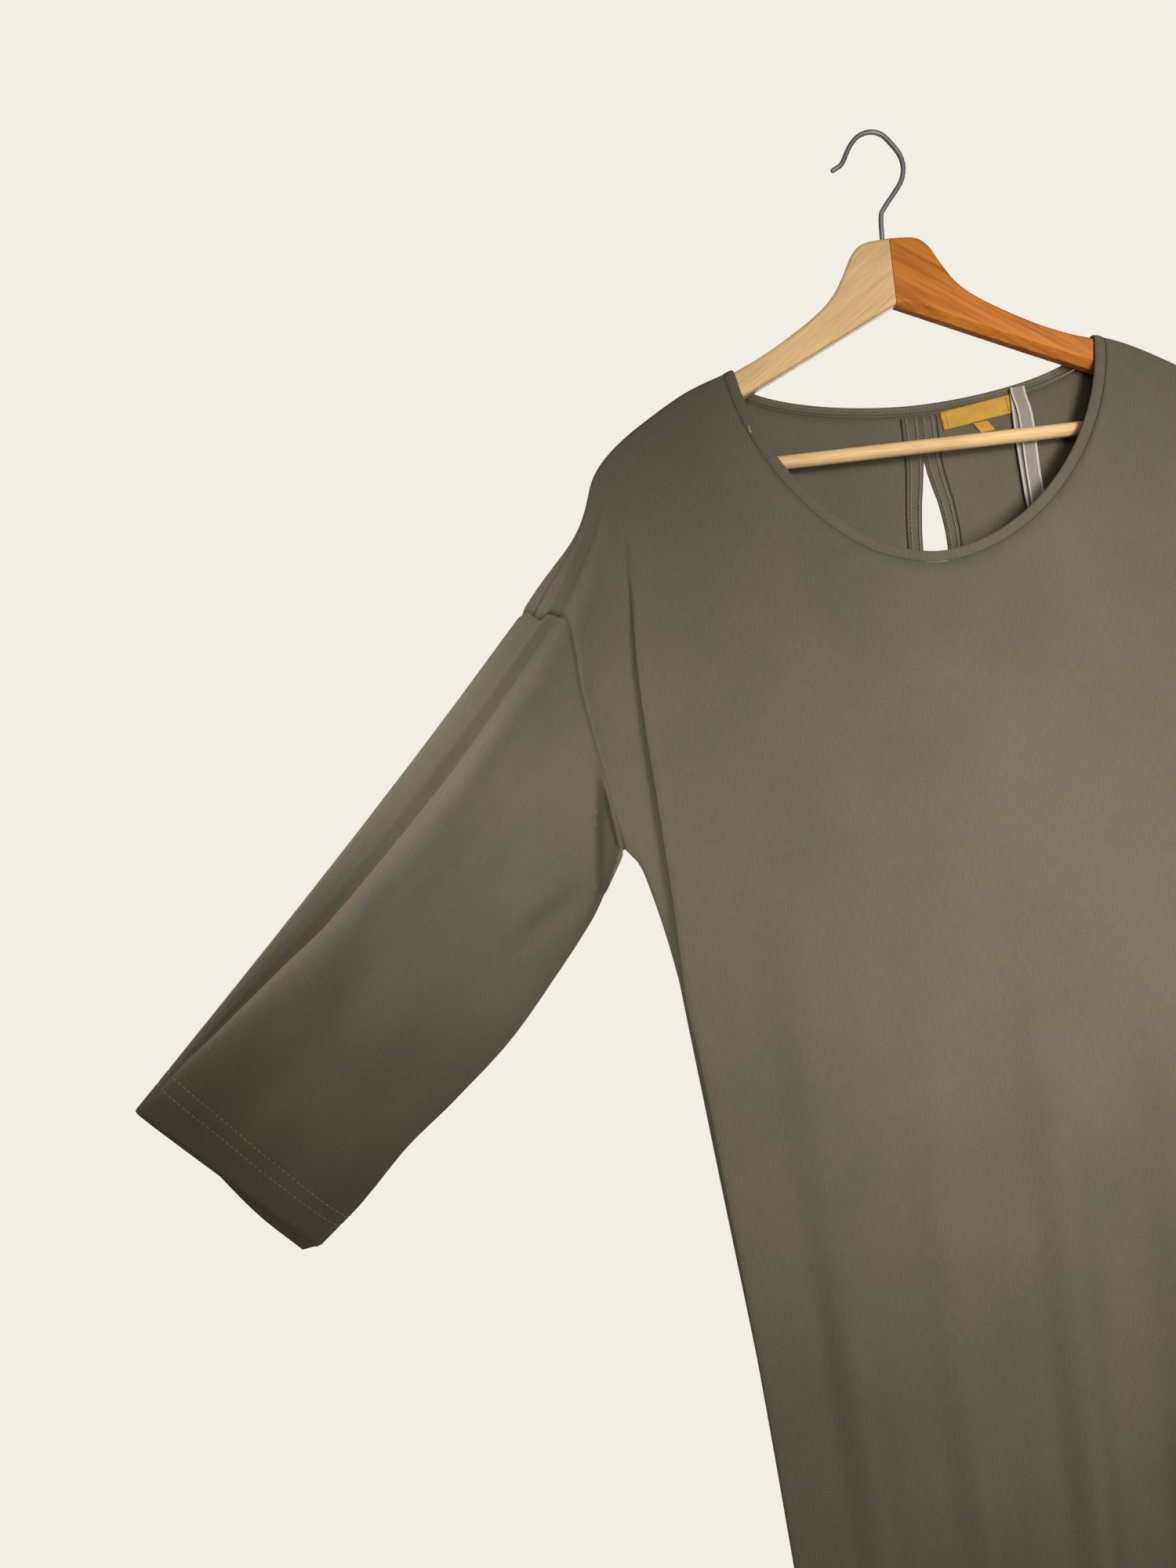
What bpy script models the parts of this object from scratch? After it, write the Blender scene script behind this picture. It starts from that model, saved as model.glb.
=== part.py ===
"""A jersey dress with dropped shoulders, hung on a two-tone wooden hanger.

Sizes are in millimetres here and become metres when a mesh is made. The front faces -Y, Z is up,
and the origin is where a rail would touch the inside of the hook. "out" is a distance to the side,
away from the middle of the hanger.
"""
import math

import bpy
from mathutils import Vector

MM = 0.001

# Cloth
WALL = 1.2
SEAM_GAP = 0.3
BAND_WIDTH = 7.0
BAND_WALL = 1.4
BAND_PROUD = 0.2
FACING_WALL = 1.0

# Heights, measured down from the inside of the hook
UNDERARM_Z = -468.0
HEM_Z = -1097.0
NECK_TOP_Z = -150.0

# Rows of the grid that both panels share
WRAP_ROW = 3
UNDERARM_ROW = 13
HEM_ROW = 23

# Sides: the sign gives the direction along X
LEFT = -1
RIGHT = 1

# The neck. The dress hangs a little to the right, so each side has its own width.
NECK_POINT_OUT = {LEFT: 116.0, RIGHT: 130.0}
NECK_POWER = 1.8
NECK = {
    "front": {"centre": 5.0, "drop": 143.0, "corner_row": 8, "depth": 27.0},
    "back": {"centre": 12.0, "drop": 34.0, "corner_row": 4, "depth": 14.0},
}

# Top line of the shoulder, outside of the cloth, from the neck to the armhole
SHOULDER = [  # out, z
    (84.0, -137.6), (113.0, -149.6), (147.0, -161.0), (175.0, -175.8), (199.0, -191.4),
    (213.0, -204.2), (221.0, -216.0), (227.0, -233.0), (233.5, -247.0), (251.0, -272.0),
    (271.0, -300.0),
]
RIDGE_OUT = 206.0
VALLEY_OUT = 217.0
ARMHOLE_OUT = 271.0

# How the cloth rounds the top of the hanger arm: row, sink below the shoulder line, depth
WRAP = [(0, 0.0, 0.0), (1, 0.5, 4.7), (2, 3.6, 8.0), (3, 11.5, 8.8)]

# Edge of the armhole on each panel, one row for each grid row from the shoulder to the underarm
ARMHOLE = {
    "front": [  # row, out, z, depth
        (0, 271.0, -300.0, 0.0), (1, 266.0, -304.5, 5.0), (2, 260.0, -301.5, 10.0),
        (3, 251.0, -305.5, 13.0), (4, 245.5, -317.0, 14.0), (5, 244.0, -333.0, 14.0),
        (6, 243.5, -350.0, 14.0), (7, 241.5, -368.0, 13.5), (8, 238.5, -386.0, 13.0),
        (9, 235.5, -404.0, 12.0), (10, 232.5, -421.0, 10.5), (11, 230.0, -438.0, 8.5),
        (12, 228.0, -454.0, 5.5), (13, 226.5, -468.0, 1.0),
    ],
    "back": [
        (0, 271.0, -300.0, 0.0), (1, 274.5, -297.0, 4.0), (2, 279.0, -298.0, 8.5),
        (3, 279.0, -306.0, 12.5), (4, 274.0, -321.0, 14.5), (5, 268.5, -337.0, 15.0),
        (6, 262.5, -353.0, 15.0), (7, 256.0, -371.0, 14.5), (8, 250.0, -389.0, 13.5),
        (9, 244.5, -406.0, 12.0), (10, 239.5, -423.0, 10.0), (11, 234.5, -440.0, 7.5),
        (12, 230.0, -456.0, 4.5), (13, 226.5, -468.0, 1.0),
    ],
}

# Lines that run down each panel: the middle, below the neck, the ridge and the valley of the pleat
# that falls from the hanger's tip, and the side seam
LINES = {
    "front": {
        "middle": [  # z, out, depth
            (-270.0, 0.0, 26.0), (-400.0, 0.0, 28.0), (-700.0, 0.0, 30.0), (-1097.0, 0.0, 33.0),
        ],
        "neck": [
            (-225.0, 96.0, 13.0), (-300.0, 92.0, 20.0), (-400.0, 87.0, 25.0), (-700.0, 72.0, 28.0),
            (-1097.0, 58.0, 30.0),
        ],
        "ridge": [
            (-200.0, 205.0, 8.3), (-231.0, 201.5, 9.5), (-270.0, 198.0, 15.0), (-306.0, 193.5, 20.0),
            (-342.0, 190.5, 22.5), (-397.0, 187.0, 24.5), (-468.0, 185.5, 25.5), (-562.0, 184.0, 26.0),
            (-670.0, 177.0, 25.0), (-883.0, 158.0, 26.0), (-1097.0, 143.0, 29.0),
        ],
        "valley": [
            (-215.0, 215.0, 8.4), (-231.0, 207.0, 8.8), (-270.0, 205.0, 9.5), (-306.0, 204.5, 9.5),
            (-397.0, 203.0, 9.5), (-468.0, 201.0, 11.0), (-562.0, 196.0, 16.0), (-670.0, 187.0, 19.0),
            (-883.0, 168.0, 20.0), (-1097.0, 153.0, 22.0),
        ],
    },
    "back": {
        "middle": [
            (-185.0, 0.0, 14.0), (-300.0, 0.0, 18.0), (-468.0, 0.0, 23.0), (-700.0, 0.0, 26.0),
            (-1097.0, 0.0, 29.0),
        ],
        "neck": [
            (-165.0, 105.0, 9.0), (-250.0, 100.0, 12.0), (-400.0, 90.0, 19.0), (-700.0, 74.0, 24.0),
            (-1097.0, 60.0, 27.0),
        ],
        "ridge": [
            (-200.0, 205.0, 8.3), (-231.0, 202.0, 9.5), (-306.0, 197.0, 15.0), (-397.0, 191.0, 20.0),
            (-468.0, 188.0, 22.0), (-562.0, 184.0, 22.0), (-670.0, 177.0, 22.0), (-883.0, 158.0, 24.0),
            (-1097.0, 143.0, 27.0),
        ],
        "valley": [
            (-215.0, 216.0, 8.4), (-231.0, 209.0, 9.0), (-306.0, 208.0, 10.5), (-397.0, 205.5, 12.0),
            (-468.0, 202.5, 12.5), (-562.0, 196.0, 14.0), (-670.0, 187.0, 16.0), (-883.0, 168.0, 18.0),
            (-1097.0, 153.0, 20.0),
        ],
    },
}
SIDE = [  # z, out of the side seam
    (-468.0, 226.5), (-480.0, 217.5), (-497.0, 212.5), (-533.0, 204.5), (-564.0, 199.5),
    (-612.0, 193.5), (-670.0, 188.5), (-735.0, 183.0), (-806.0, 177.5), (-883.0, 172.5),
    (-1000.0, 166.0), (-1097.0, 161.5),
]

# Steps across a panel, as shares of the way from one line to the next
MIDDLE_STEPS = (0.0, 0.12, 0.28, 0.46, 0.64, 0.82, 1.0)
CHEST_STEPS = (0.0, 0.17, 0.34, 0.51, 0.68, 0.85, 1.0)
PLEAT_STEPS = (0.0, 0.5, 1.0)
SIDE_STEPS = (0.0, 0.13, 0.32, 0.54, 0.77, 1.0)

# Soft folds that grow towards the hem: middle at the underarm and at the hem, half-width, height
FOLDS = {
    "front": [  # x at underarm, x at hem, half-width, height at hem, start z
        (-128.0, -104.0, 26.0, 15.0, -360.0), (-52.0, -38.0, 24.0, 12.0, -520.0),
        (38.0, 30.0, 25.0, 14.0, -430.0), (122.0, 98.0, 27.0, 13.0, -480.0),
    ],
    "back": [
        (-118.0, -92.0, 27.0, 13.0, -420.0), (-20.0, -12.0, 26.0, 12.0, -480.0),
        (92.0, 66.0, 26.0, 14.0, -400.0),
    ],
}

# The slit in the back
SLIT_ROW = 9
SLIT_HALF = [(4, 0.35), (5, 0.7), (6, 5.8), (7, 8.2), (8, 6.4), (9, 0.0)]  # row, half of the gap

# Sleeves
SLEEVE_RINGS = 15
CUFF_TOP = (580.5, -605.0)
CUFF_BOTTOM = (464.5, -713.5)
CUFF_SECTION = [  # step round the sleeve, share of the width from the top, depth
    (0, 0.010, -1.0), (1, 0.012, -3.5), (2, 0.020, -5.5), (3, 0.036, -7.5), (4, 0.120, -9.0),
    (5, 0.215, -9.5), (6, 0.310, -9.5), (7, 0.405, -9.5), (8, 0.500, -9.5), (9, 0.595, -9.5),
    (10, 0.690, -9.0), (11, 0.785, -8.5), (12, 0.885, -7.0), (13, 0.975, -1.0),
    (14, 1.000, 5.5), (15, 0.915, 8.5), (16, 0.820, 9.0), (17, 0.725, 9.5), (18, 0.630, 9.5),
    (19, 0.535, 9.5), (20, 0.440, 9.5), (21, 0.345, 9.5), (22, 0.250, 9.5), (23, 0.160, 9.0),
    (24, 0.055, 8.0), (25, 0.006, 4.0), (26, 0.010, -1.0),
]
SLEEVE_BELLY = [  # share of the length, how far the lower edge hangs below a straight line
    (0.0, 0.0), (0.08, 6.5), (0.15, 12.0), (0.27, 16.0), (0.43, 19.0), (0.60, 14.5), (0.75, 8.0),
    (0.88, 6.0), (1.0, 0.0),
]
SLEEVE_PUFF = 4.0

# The long fold from the hanger's tip down the top of each sleeve
FOLD_STEP = 3.0
FOLD_PUSH = [(0, 0.0), (1, 2.2), (2, 5.6), (3, -0.5), (4, -3.2), (5, -1.8), (7, 0.0)]  # step or row, inwards
FOLD_PLACE = [  # share of the sleeve's length, distance of the fold's edge from the sleeve's top
    (0.0, 16.0), (0.17, 22.0), (0.33, 25.0), (0.58, 23.4), (0.69, 17.6), (0.775, 13.4), (0.84, 10.5),
    (0.89, 7.6), (1.0, 5.0),
]
FOLD_START = 0.6  # the fold's strength at the armhole seam
FOLD_STRENGTH = [(0.0, 0.6), (0.12, 1.0), (0.55, 1.0), (0.8, 0.62), (0.92, 0.2), (1.0, 0.0)]  # share, strength

# Hanger
ARM_HALF_DEPTH = 6.6
ARM_TOP = [  # out, z of the upper edge of the wood
    (0.2, -74.0), (17.0, -75.5), (26.0, -82.0), (34.0, -96.0), (43.0, -109.5), (58.0, -122.3),
    (87.0, -139.7), (113.0, -151.8), (147.0, -163.6), (175.0, -178.4), (199.0, -194.5),
    (211.0, -206.6), (216.3, -214.5), (217.6, -222.0),
]
ARM_BOTTOM = [
    (213.0, -226.5), (205.0, -226.5), (200.0, -223.0), (200.0, -211.0), (188.0, -204.0),
    (107.0, -168.6), (0.2, -119.3),
]
ARM_EDGE = 2.4
BAR_Z = -216.5
BAR_RADIUS = 4.8
BAR_HALF = 199.7
WIRE_RADIUS = 1.7
HOOK_PATH = [  # x, z of the middle of the wire
    (-3.0, -73.7), (-2.0, -57.0), (1.0, -51.0), (8.5, -42.0), (14.5, -34.0), (17.0, -25.0),
    (15.5, -16.0), (10.0, -7.0), (4.5, -0.8), (-2.5, 1.7), (-9.5, 0.6), (-15.0, -3.2),
    (-19.5, -9.0), (-22.5, -14.5), (-25.5, -18.6), (-31.0, -21.5),
]

# Small pieces inside the back neck
LABEL_CENTRE = (52.0, -194.4)
LABEL_SIZE = (50.0, 12.8)
LABEL_TILT = math.radians(7.6)
LABEL_WALL = 0.8
TAB_CENTRE = (55.9, -205.2)
TAB_SIZE = (10.2, 7.4)
TAB_TILT = math.radians(5.4)
RIBBON_WIDTH = 10.0
RIBBON_WALL = 0.6
RIBBON_PATH = [  # x, depth behind the middle, z
    (80.0, 7.2, -181.0), (80.8, 6.9, -188.0), (82.8, 6.5, -197.0), (83.6, 6.1, -210.0),
    (83.8, 5.9, -235.0), (85.2, 6.0, -262.0), (86.8, 6.2, -286.0), (86.6, 6.9, -290.5),
    (85.4, 7.8, -286.0), (82.8, 8.0, -262.0), (81.0, 7.7, -235.0), (80.4, 7.8, -216.0),
    (80.2, 8.1, -199.0), (80.2, 8.6, -181.0),
]

# Colours: red, green, blue (linear), roughness, metallic
FINISHES = {
    "jersey": (0.115, 0.108, 0.066, 0.9, 0.0),
    "label": (0.48, 0.27, 0.03, 0.8, 0.0),
    "ribbon": (0.33, 0.29, 0.26, 0.5, 0.0),
    "wood_light": (0.66, 0.46, 0.24, 0.55, 0.0),
    "wood_red": (0.46, 0.17, 0.05, 0.5, 0.0),
    "steel": (0.5, 0.5, 0.5, 0.3, 1.0),
}


def clear_scene():
    """Remove whatever the scene holds."""
    for thing in list(bpy.data.objects):
        bpy.data.objects.remove(thing, do_unlink=True)


def finish(name):
    """Return the named material, made on first use."""
    material = bpy.data.materials.get(name)
    if material:
        return material
    red, green, blue, roughness, metallic = FINISHES[name]
    material = bpy.data.materials.new(name)
    material.use_nodes = True
    shader = material.node_tree.nodes["Principled BSDF"]
    shader.inputs["Base Color"].default_value = (red, green, blue, 1.0)
    shader.inputs["Roughness"].default_value = roughness
    shader.inputs["Metallic"].default_value = metallic
    return material


def make_object(name, points, faces, finish_name):
    """Make one object from points in millimetres."""
    mesh = bpy.data.meshes.new(name)
    mesh.from_pydata([tuple(point * MM) for point in points], [], faces)
    mesh.update()
    mesh.materials.append(finish(finish_name))
    thing = bpy.data.objects.new(name, mesh)
    bpy.context.collection.objects.link(thing)
    return thing


def ease(share):
    """Smooth step from 0 to 1."""
    share = min(1.0, max(0.0, share))
    return share * share * (3.0 - 2.0 * share)


def mix(start, end, share):
    """Value on the way from start to end."""
    return start + (end - start) * share


def along(rows, key):
    """Read a table smoothly: its first column is the key, and the rest come back as a list."""
    if (rows[0][0] < rows[-1][0]) == (key <= rows[0][0]) and key != rows[0][0]:
        return list(rows[0][1:])
    last = len(rows) - 1
    for index in range(last):
        low, high = rows[index], rows[index + 1]
        share = (key - low[0]) / (high[0] - low[0])
        if 0.0 <= share <= 1.0:
            before, after = rows[max(0, index - 1)], rows[min(last, index + 2)]
            return [curve(before, low, high, after, share, column) for column in range(1, len(low))]
    return list(rows[-1][1:])


def curve(before, low, high, after, share, column):
    """Cubic through low and high, with the slopes of their neighbours, never past a level row."""
    step = high[0] - low[0]
    middle = (high[column] - low[column]) / step
    start = slope(before, low, column, middle)
    end = slope(high, after, column, middle)
    square = share * share
    cube = square * share
    return ((2 * cube - 3 * square + 1) * low[column] + (cube - 2 * square + share) * step * start
            + (3 * square - 2 * cube) * high[column] + (cube - square) * step * end)


def slope(low, high, column, other):
    """Slope at a shared row: none at a turn, else the gentler mean of both sides."""
    if high[0] == low[0]:
        return other
    own = (high[column] - low[column]) / (high[0] - low[0])
    if own * other <= 0.0:
        return 0.0
    return 2.0 * own * other / (own + other)


def shoulder_z(out):
    """Height of the shoulder line."""
    return along(SHOULDER, out)[0]


def neck_point(face, side, turn, widen):
    """Point of the neck edge: turn is 0 in the middle and 1 at the shoulder."""
    neck = NECK[face]
    half = NECK_POINT_OUT[side] - side * neck["centre"] + widen
    angle = turn * math.pi / 2.0
    power = 2.0 / NECK_POWER
    reach = half * math.sin(angle) ** power
    drop = (neck["drop"] + widen) * max(0.0, math.cos(angle)) ** power
    out = side * neck["centre"] + reach
    top = mix(NECK_TOP_Z, shoulder_z(NECK_POINT_OUT[side] + widen), ease(turn))
    return out, top - drop, neck["depth"] * (1.0 - ease(turn)) + WRAP[-1][2] * ease(turn)


def wrap_point(out, row):
    """Point of a wrap row, on the cloth that rounds the hanger's arm."""
    sink, depth = along(WRAP, row)
    rise = shoulder_z(out + 1.0) - shoulder_z(out - 1.0)
    length = math.hypot(2.0, rise)
    return out + sink * rise / length, shoulder_z(out) - sink * 2.0 / length, depth


def corner_turn(face):
    """Where the neck edge turns from the side of the grid to its top."""
    return 0.60 if face == "front" else 0.64


def neck_edge(face, side, row, widen):
    """Neck edge between the shoulder and the corner row."""
    neck = NECK[face]
    sink = along(WRAP, min(row, WRAP_ROW))[0] / (neck["drop"] + widen)
    turn = 1.0 - (2.0 / math.pi) * math.asin(sink ** (NECK_POWER / 2.0))
    if row <= WRAP_ROW:
        point_out = neck_point(face, side, turn, widen)[0]
        wrap = wrap_point(point_out, row)
        return point_out, wrap[1], wrap[2]
    share = (row - WRAP_ROW) / (neck["corner_row"] - WRAP_ROW)
    return neck_point(face, side, mix(turn, corner_turn(face), share), widen)


def middle_shift(face, z):
    """How far the middle of the panel hangs to the right."""
    return NECK[face]["centre"] * ease((z + 700.0) / 400.0)


def armhole_line(face, row):
    """Side edge of the panel: the armhole, then the side seam."""
    if row <= UNDERARM_ROW:
        return tuple(along(ARMHOLE[face], row))
    z = low_z(row)
    return along(SIDE, z)[0], z, 1.0 - ease((UNDERARM_Z - z) / 40.0)


def low_z(row):
    """Height of a row below the underarm; the first rows lie closer together."""
    share = (row - UNDERARM_ROW) / (HEM_ROW - UNDERARM_ROW)
    return mix(UNDERARM_Z, HEM_Z, share ** 1.25)


def panel_line(face, side, name, row):
    """Point of one of the lines that run down a panel."""
    if name == "side":
        return armhole_line(face, row)
    if name == "neck":
        corner = NECK[face]["corner_row"]
        if row <= corner:
            return neck_edge(face, side, row, BAND_WIDTH + SEAM_GAP)
        start = neck_edge(face, side, corner, BAND_WIDTH + SEAM_GAP)
        first_row = corner
    elif name == "middle":
        start = neck_point(face, side, 0.0, BAND_WIDTH + SEAM_GAP)
        first_row = NECK[face]["corner_row"]
    else:
        top_out = RIDGE_OUT if name == "ridge" else VALLEY_OUT
        if row <= WRAP_ROW:
            return wrap_point(top_out, row)
        start = wrap_point(top_out, WRAP_ROW)
        first_row = WRAP_ROW
    z = low_z(row)
    if row < UNDERARM_ROW:
        z = mix(start[1], UNDERARM_Z, (row - first_row) / (UNDERARM_ROW - first_row))
    out, depth = along(LINES[face][name], z)
    settle = ease((row - first_row) / 4.0)
    out = mix(start[0], out + side * middle_shift(face, z) * (name in ("neck", "middle")), settle)
    return out, z, mix(start[2], depth, settle)


def across(low, high, share, kind):
    """Point between two lines of the same row."""
    if kind == "side":
        turn = share * math.pi / 2.0
        return (mix(low[0], high[0], math.sin(turn)), mix(low[1], high[1], share),
                mix(low[2], high[2], share ** 1.4))
    return mix(low[0], high[0], share), mix(low[1], high[1], share), mix(low[2], high[2], ease(share))


def top_point(face, side, names, share, row):
    """Rows at the top edge, which follow the shoulder or the neck."""
    if names[0] == "middle":
        turn = corner_turn(face) * share
        return neck_point(face, side, turn, BAND_WIDTH + SEAM_GAP)
    ends = {"neck": neck_edge(face, side, row, BAND_WIDTH + SEAM_GAP)[0], "ridge": RIDGE_OUT,
            "valley": VALLEY_OUT, "side": ARMHOLE_OUT}
    out = mix(ends[names[0]], ends[names[1]], share)
    plain = wrap_point(out, row)
    if names[1] != "side":
        return plain
    weight = ease((out - VALLEY_OUT) / (ARMHOLE_OUT - VALLEY_OUT))
    edge, edge_top = armhole_line(face, row), armhole_line(face, 0)
    turned = (out + edge[0] - edge_top[0], shoulder_z(out) + edge[1] - edge_top[1], edge[2])
    return tuple(mix(plain[axis], turned[axis], weight) for axis in range(3))


def fold_depth(face, x, z):
    """How far the soft folds stand out at this place."""
    total = 0.0
    for high_x, low_x, half, height, start in FOLDS[face]:
        share = (z - UNDERARM_Z) / (HEM_Z - UNDERARM_Z)
        middle = mix(high_x, low_x, share)
        grown = ease((start - z) / (start - HEM_Z)) * height
        distance = abs(x - middle) / (half * mix(1.15, 0.85, share))
        if distance < 1.0:
            total += grown * (0.5 + 0.5 * math.cos(math.pi * distance))
    return total - 0.42 * ease((-420.0 - z) / 600.0) * 12.0


def panel_point(face, side, names, share, row):
    """Outer point of a panel, in the part's own axes."""
    first_row = NECK[face]["corner_row"] if names[0] == "middle" else WRAP_ROW
    if row <= first_row:
        place = top_point(face, side, names, share, row)
    else:
        low = panel_line(face, side, names[0], row)
        high = panel_line(face, side, names[1], row)
        plain = across(low, high, share, names[1])
        low = panel_line(face, side, names[0], first_row)
        high = panel_line(face, side, names[1], first_row)
        start = across(low, high, share, names[1])
        top = top_point(face, side, names, share, first_row)
        fade = 1.0 - ease((row - first_row) / 6.0)
        place = tuple(plain[axis] + fade * (top[axis] - start[axis]) for axis in range(3))
    out, z, depth = place
    x = side * out
    edge = along(SIDE, z)[0] if z < UNDERARM_Z else 226.5
    depth += ease((edge - 4.0 - out) / 42.0) * fold_depth(face, x, z)
    sign = -1.0 if face == "front" else 1.0
    if face == "front" and names[0] == "valley":
        depth -= FOLD_START * along(FOLD_PUSH, row)[0] * ease(share / 0.6)
    return Vector((x, sign * depth, z))


def column_places():
    """Columns of one half of a panel, from the middle outwards: lines and share between them."""
    places = [(("middle", "neck"), share) for share in MIDDLE_STEPS]
    places += [(("neck", "ridge"), share) for share in CHEST_STEPS[1:]]
    places += [(("ridge", "valley"), share) for share in PLEAT_STEPS[1:]]
    places += [(("valley", "side"), share) for share in SIDE_STEPS[1:]]
    return places


class Sheet:
    """A cloth surface: outer points, quads that face outwards, and the places of named points."""

    def __init__(self, name):
        self.name = name
        self.points = []
        self.quads = []
        self.places = {}

    def add(self, key, point):
        """Add a point once under its key."""
        if key not in self.places:
            self.places[key] = len(self.points)
            self.points.append(point)
        return self.places[key]

    def quad(self, keys, flip):
        """Add a quad from the keys of its corners."""
        corners = [self.places[key] for key in keys]
        self.quads.append(corners[::-1] if flip else corners)

    def normals(self):
        """Outward direction at each point."""
        total = [Vector() for _ in self.points]
        for quad in self.quads:
            first, second, third, fourth = (self.points[index] for index in quad)
            area = (third - first).cross(fourth - second)
            for index in quad:
                total[index] += area
        return [direction.normalized() for direction in total]


def make_panel(face):
    """Grid of the front or the back panel. Keys are (side, column, row)."""
    sheet = Sheet(face)
    places = column_places()
    corner_column = len(MIDDLE_STEPS) - 1
    corner_row = NECK[face]["corner_row"]
    for side in (LEFT, RIGHT):
        for column, (names, share) in enumerate(places):
            first = corner_row if column < corner_column else 0
            for row in range(first, HEM_ROW + 1):
                split = face == "back" and row < SLIT_ROW
                key = (0, 0, row) if column == 0 and not split else (side, column, row)
                if column == corner_column:
                    out, z, depth = panel_line(face, side, "neck", row)
                    sign = -1.0 if face == "front" else 1.0
                    point = Vector((side * out, sign * (depth + fold_depth(face, side * out, z)), z))
                else:
                    point = panel_point(face, side, names, share, row)
                if face == "back" and column < corner_column:
                    point = open_slit(point, side, column, row, share)
                sheet.add(key, point)
    for side in (LEFT, RIGHT):
        for column in range(len(places) - 1):
            first = corner_row if column < corner_column else 0
            for row in range(first, HEM_ROW):
                keys = [grid_key(sheet, side, column + a, row + b) for a, b in ((0, 0), (1, 0), (1, 1), (0, 1))]
                sheet.quad(keys, (side == RIGHT) == (face == "front"))
    return sheet


def grid_key(sheet, side, column, row):
    """Key of a grid point, which both halves share in the middle."""
    key = (side, column, row)
    return key if key in sheet.places else (0, column, row)


def open_slit(point, side, column, row, share):
    """Move a back point away from the middle, beside the slit."""
    if row > SLIT_ROW:
        return point
    half = along(SLIT_HALF, row)[0]
    weight = max(0.0, 1.0 - share * 1.6)
    return Vector((point.x + side * half * weight, point.y, point.z))


def make_sleeve(side, front, back):
    """Tube of one sleeve. Keys are (ring, step); step 0 is at the shoulder seam."""
    sheet = Sheet("sleeve_left" if side == LEFT else "sleeve_right")
    last_column = len(column_places()) - 1
    ring = [front.points[front.places[(side, last_column, row)]] for row in range(UNDERARM_ROW + 1)]
    ring += [back.points[back.places[(side, last_column, row)]] for row in range(UNDERARM_ROW - 1, 0, -1)]
    count = len(ring)
    for number in range(SLEEVE_RINGS + 1):
        share = number / SLEEVE_RINGS
        for step in range(count):
            sheet.add((number, step), sleeve_point(side, ring[step], step, share))
    for number in range(SLEEVE_RINGS):
        for step in range(count):
            following = (step + 1) % count
            keys = [(number, step), (number, following), (number + 1, following), (number + 1, step)]
            sheet.quad(keys, side == LEFT)
    return sheet


def sleeve_point(side, start, step, share):
    """Point on a sleeve's line from the armhole to the cuff."""
    width_share, depth = along(CUFF_SECTION, step)
    cuff_out = mix(CUFF_TOP[0], CUFF_BOTTOM[0], width_share)
    cuff_z = mix(CUFF_TOP[1], CUFF_BOTTOM[1], width_share)
    cuff = Vector((side * cuff_out, depth, cuff_z))
    point = start.lerp(cuff, share)
    down = Vector((side * -0.71, 0.0, -0.70))
    low = ease((width_share - 0.35) / 0.65)
    point += down * (along(SLEEVE_BELLY, share)[0] * low)
    high = 1.0 - ease(width_share / 0.5)
    bow = math.sin(math.pi * share)
    point += down * (2.0 * bow * high)
    flat = math.sin(math.pi * width_share)
    point.y += math.copysign(SLEEVE_PUFF, depth) * bow * flat
    if step < UNDERARM_ROW:
        reach = min(step / FOLD_STEP, 1.0) * (1.0 - ease((step - FOLD_STEP) / 5.0))
        point += down * (along(FOLD_PLACE, share)[0] - mix(16.0, 5.0, share)) * reach
        strength = along(FOLD_STRENGTH, share)[0] - FOLD_START * (1.0 - share)
        point.y += along(FOLD_PUSH, step)[0] * strength
    return point


def near(sheet, key, towards, distance):
    """Move one edge point of a sheet towards its neighbour inside."""
    index = sheet.places[key]
    inner = sheet.points[sheet.places[towards]]
    step = inner - sheet.points[index]
    sheet.points[index] = sheet.points[index] + step.normalized() * distance


def seam_pairs(front, back, sleeves):
    """All places where sheets are sewn together, as lists of (sheet, key, inner key)."""
    last = len(column_places()) - 1
    seams = []
    for side, sleeve in sleeves.items():
        for row in range(UNDERARM_ROW + 1, HEM_ROW + 1):
            seams.append([(sheet, (side, last, row), (side, last - 1, row)) for sheet in (front, back)])
        for column in range(len(MIDDLE_STEPS) - 1, last):
            seams.append([(sheet, (side, column, 0), (side, column, 1)) for sheet in (front, back)])
        for step in range(2 * UNDERARM_ROW):
            row = min(step, 2 * UNDERARM_ROW - step)
            bodies = [front] if step <= UNDERARM_ROW else [back]
            if step in (0, UNDERARM_ROW):
                bodies = [front, back]
            joined = [(sheet, (side, last, row), (side, last - 1, min(row + (row == 0), HEM_ROW)))
                      for sheet in bodies]
            if step == UNDERARM_ROW:
                seams.append([(sleeve, (0, step), (1, step))])
            else:
                joined.append((sleeve, (0, step), (1, step)))
            seams.append(joined)
    return seams


def sew(seams, normals):
    """Give sewn points one direction, and part them by the seam gap."""
    for seam in seams:
        shared = Vector()
        for sheet, key, _ in seam:
            shared += normals[sheet.name][sheet.places[key]]
        shared.normalize()
        for sheet, key, _ in seam:
            normals[sheet.name][sheet.places[key]] = shared
    for seam in seams:
        for sheet, key, towards in seam:
            near(sheet, key, towards, SEAM_GAP * (0.5 if len(seam) == 2 else 0.62))


def edge_pairs(quads):
    """Edges that only one quad uses, in that quad's direction."""
    used = {}
    for quad in quads:
        for index in range(4):
            edge = (quad[index], quad[(index + 1) % 4])
            used[edge] = True
    return [edge for edge in used if (edge[1], edge[0]) not in used]


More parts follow.
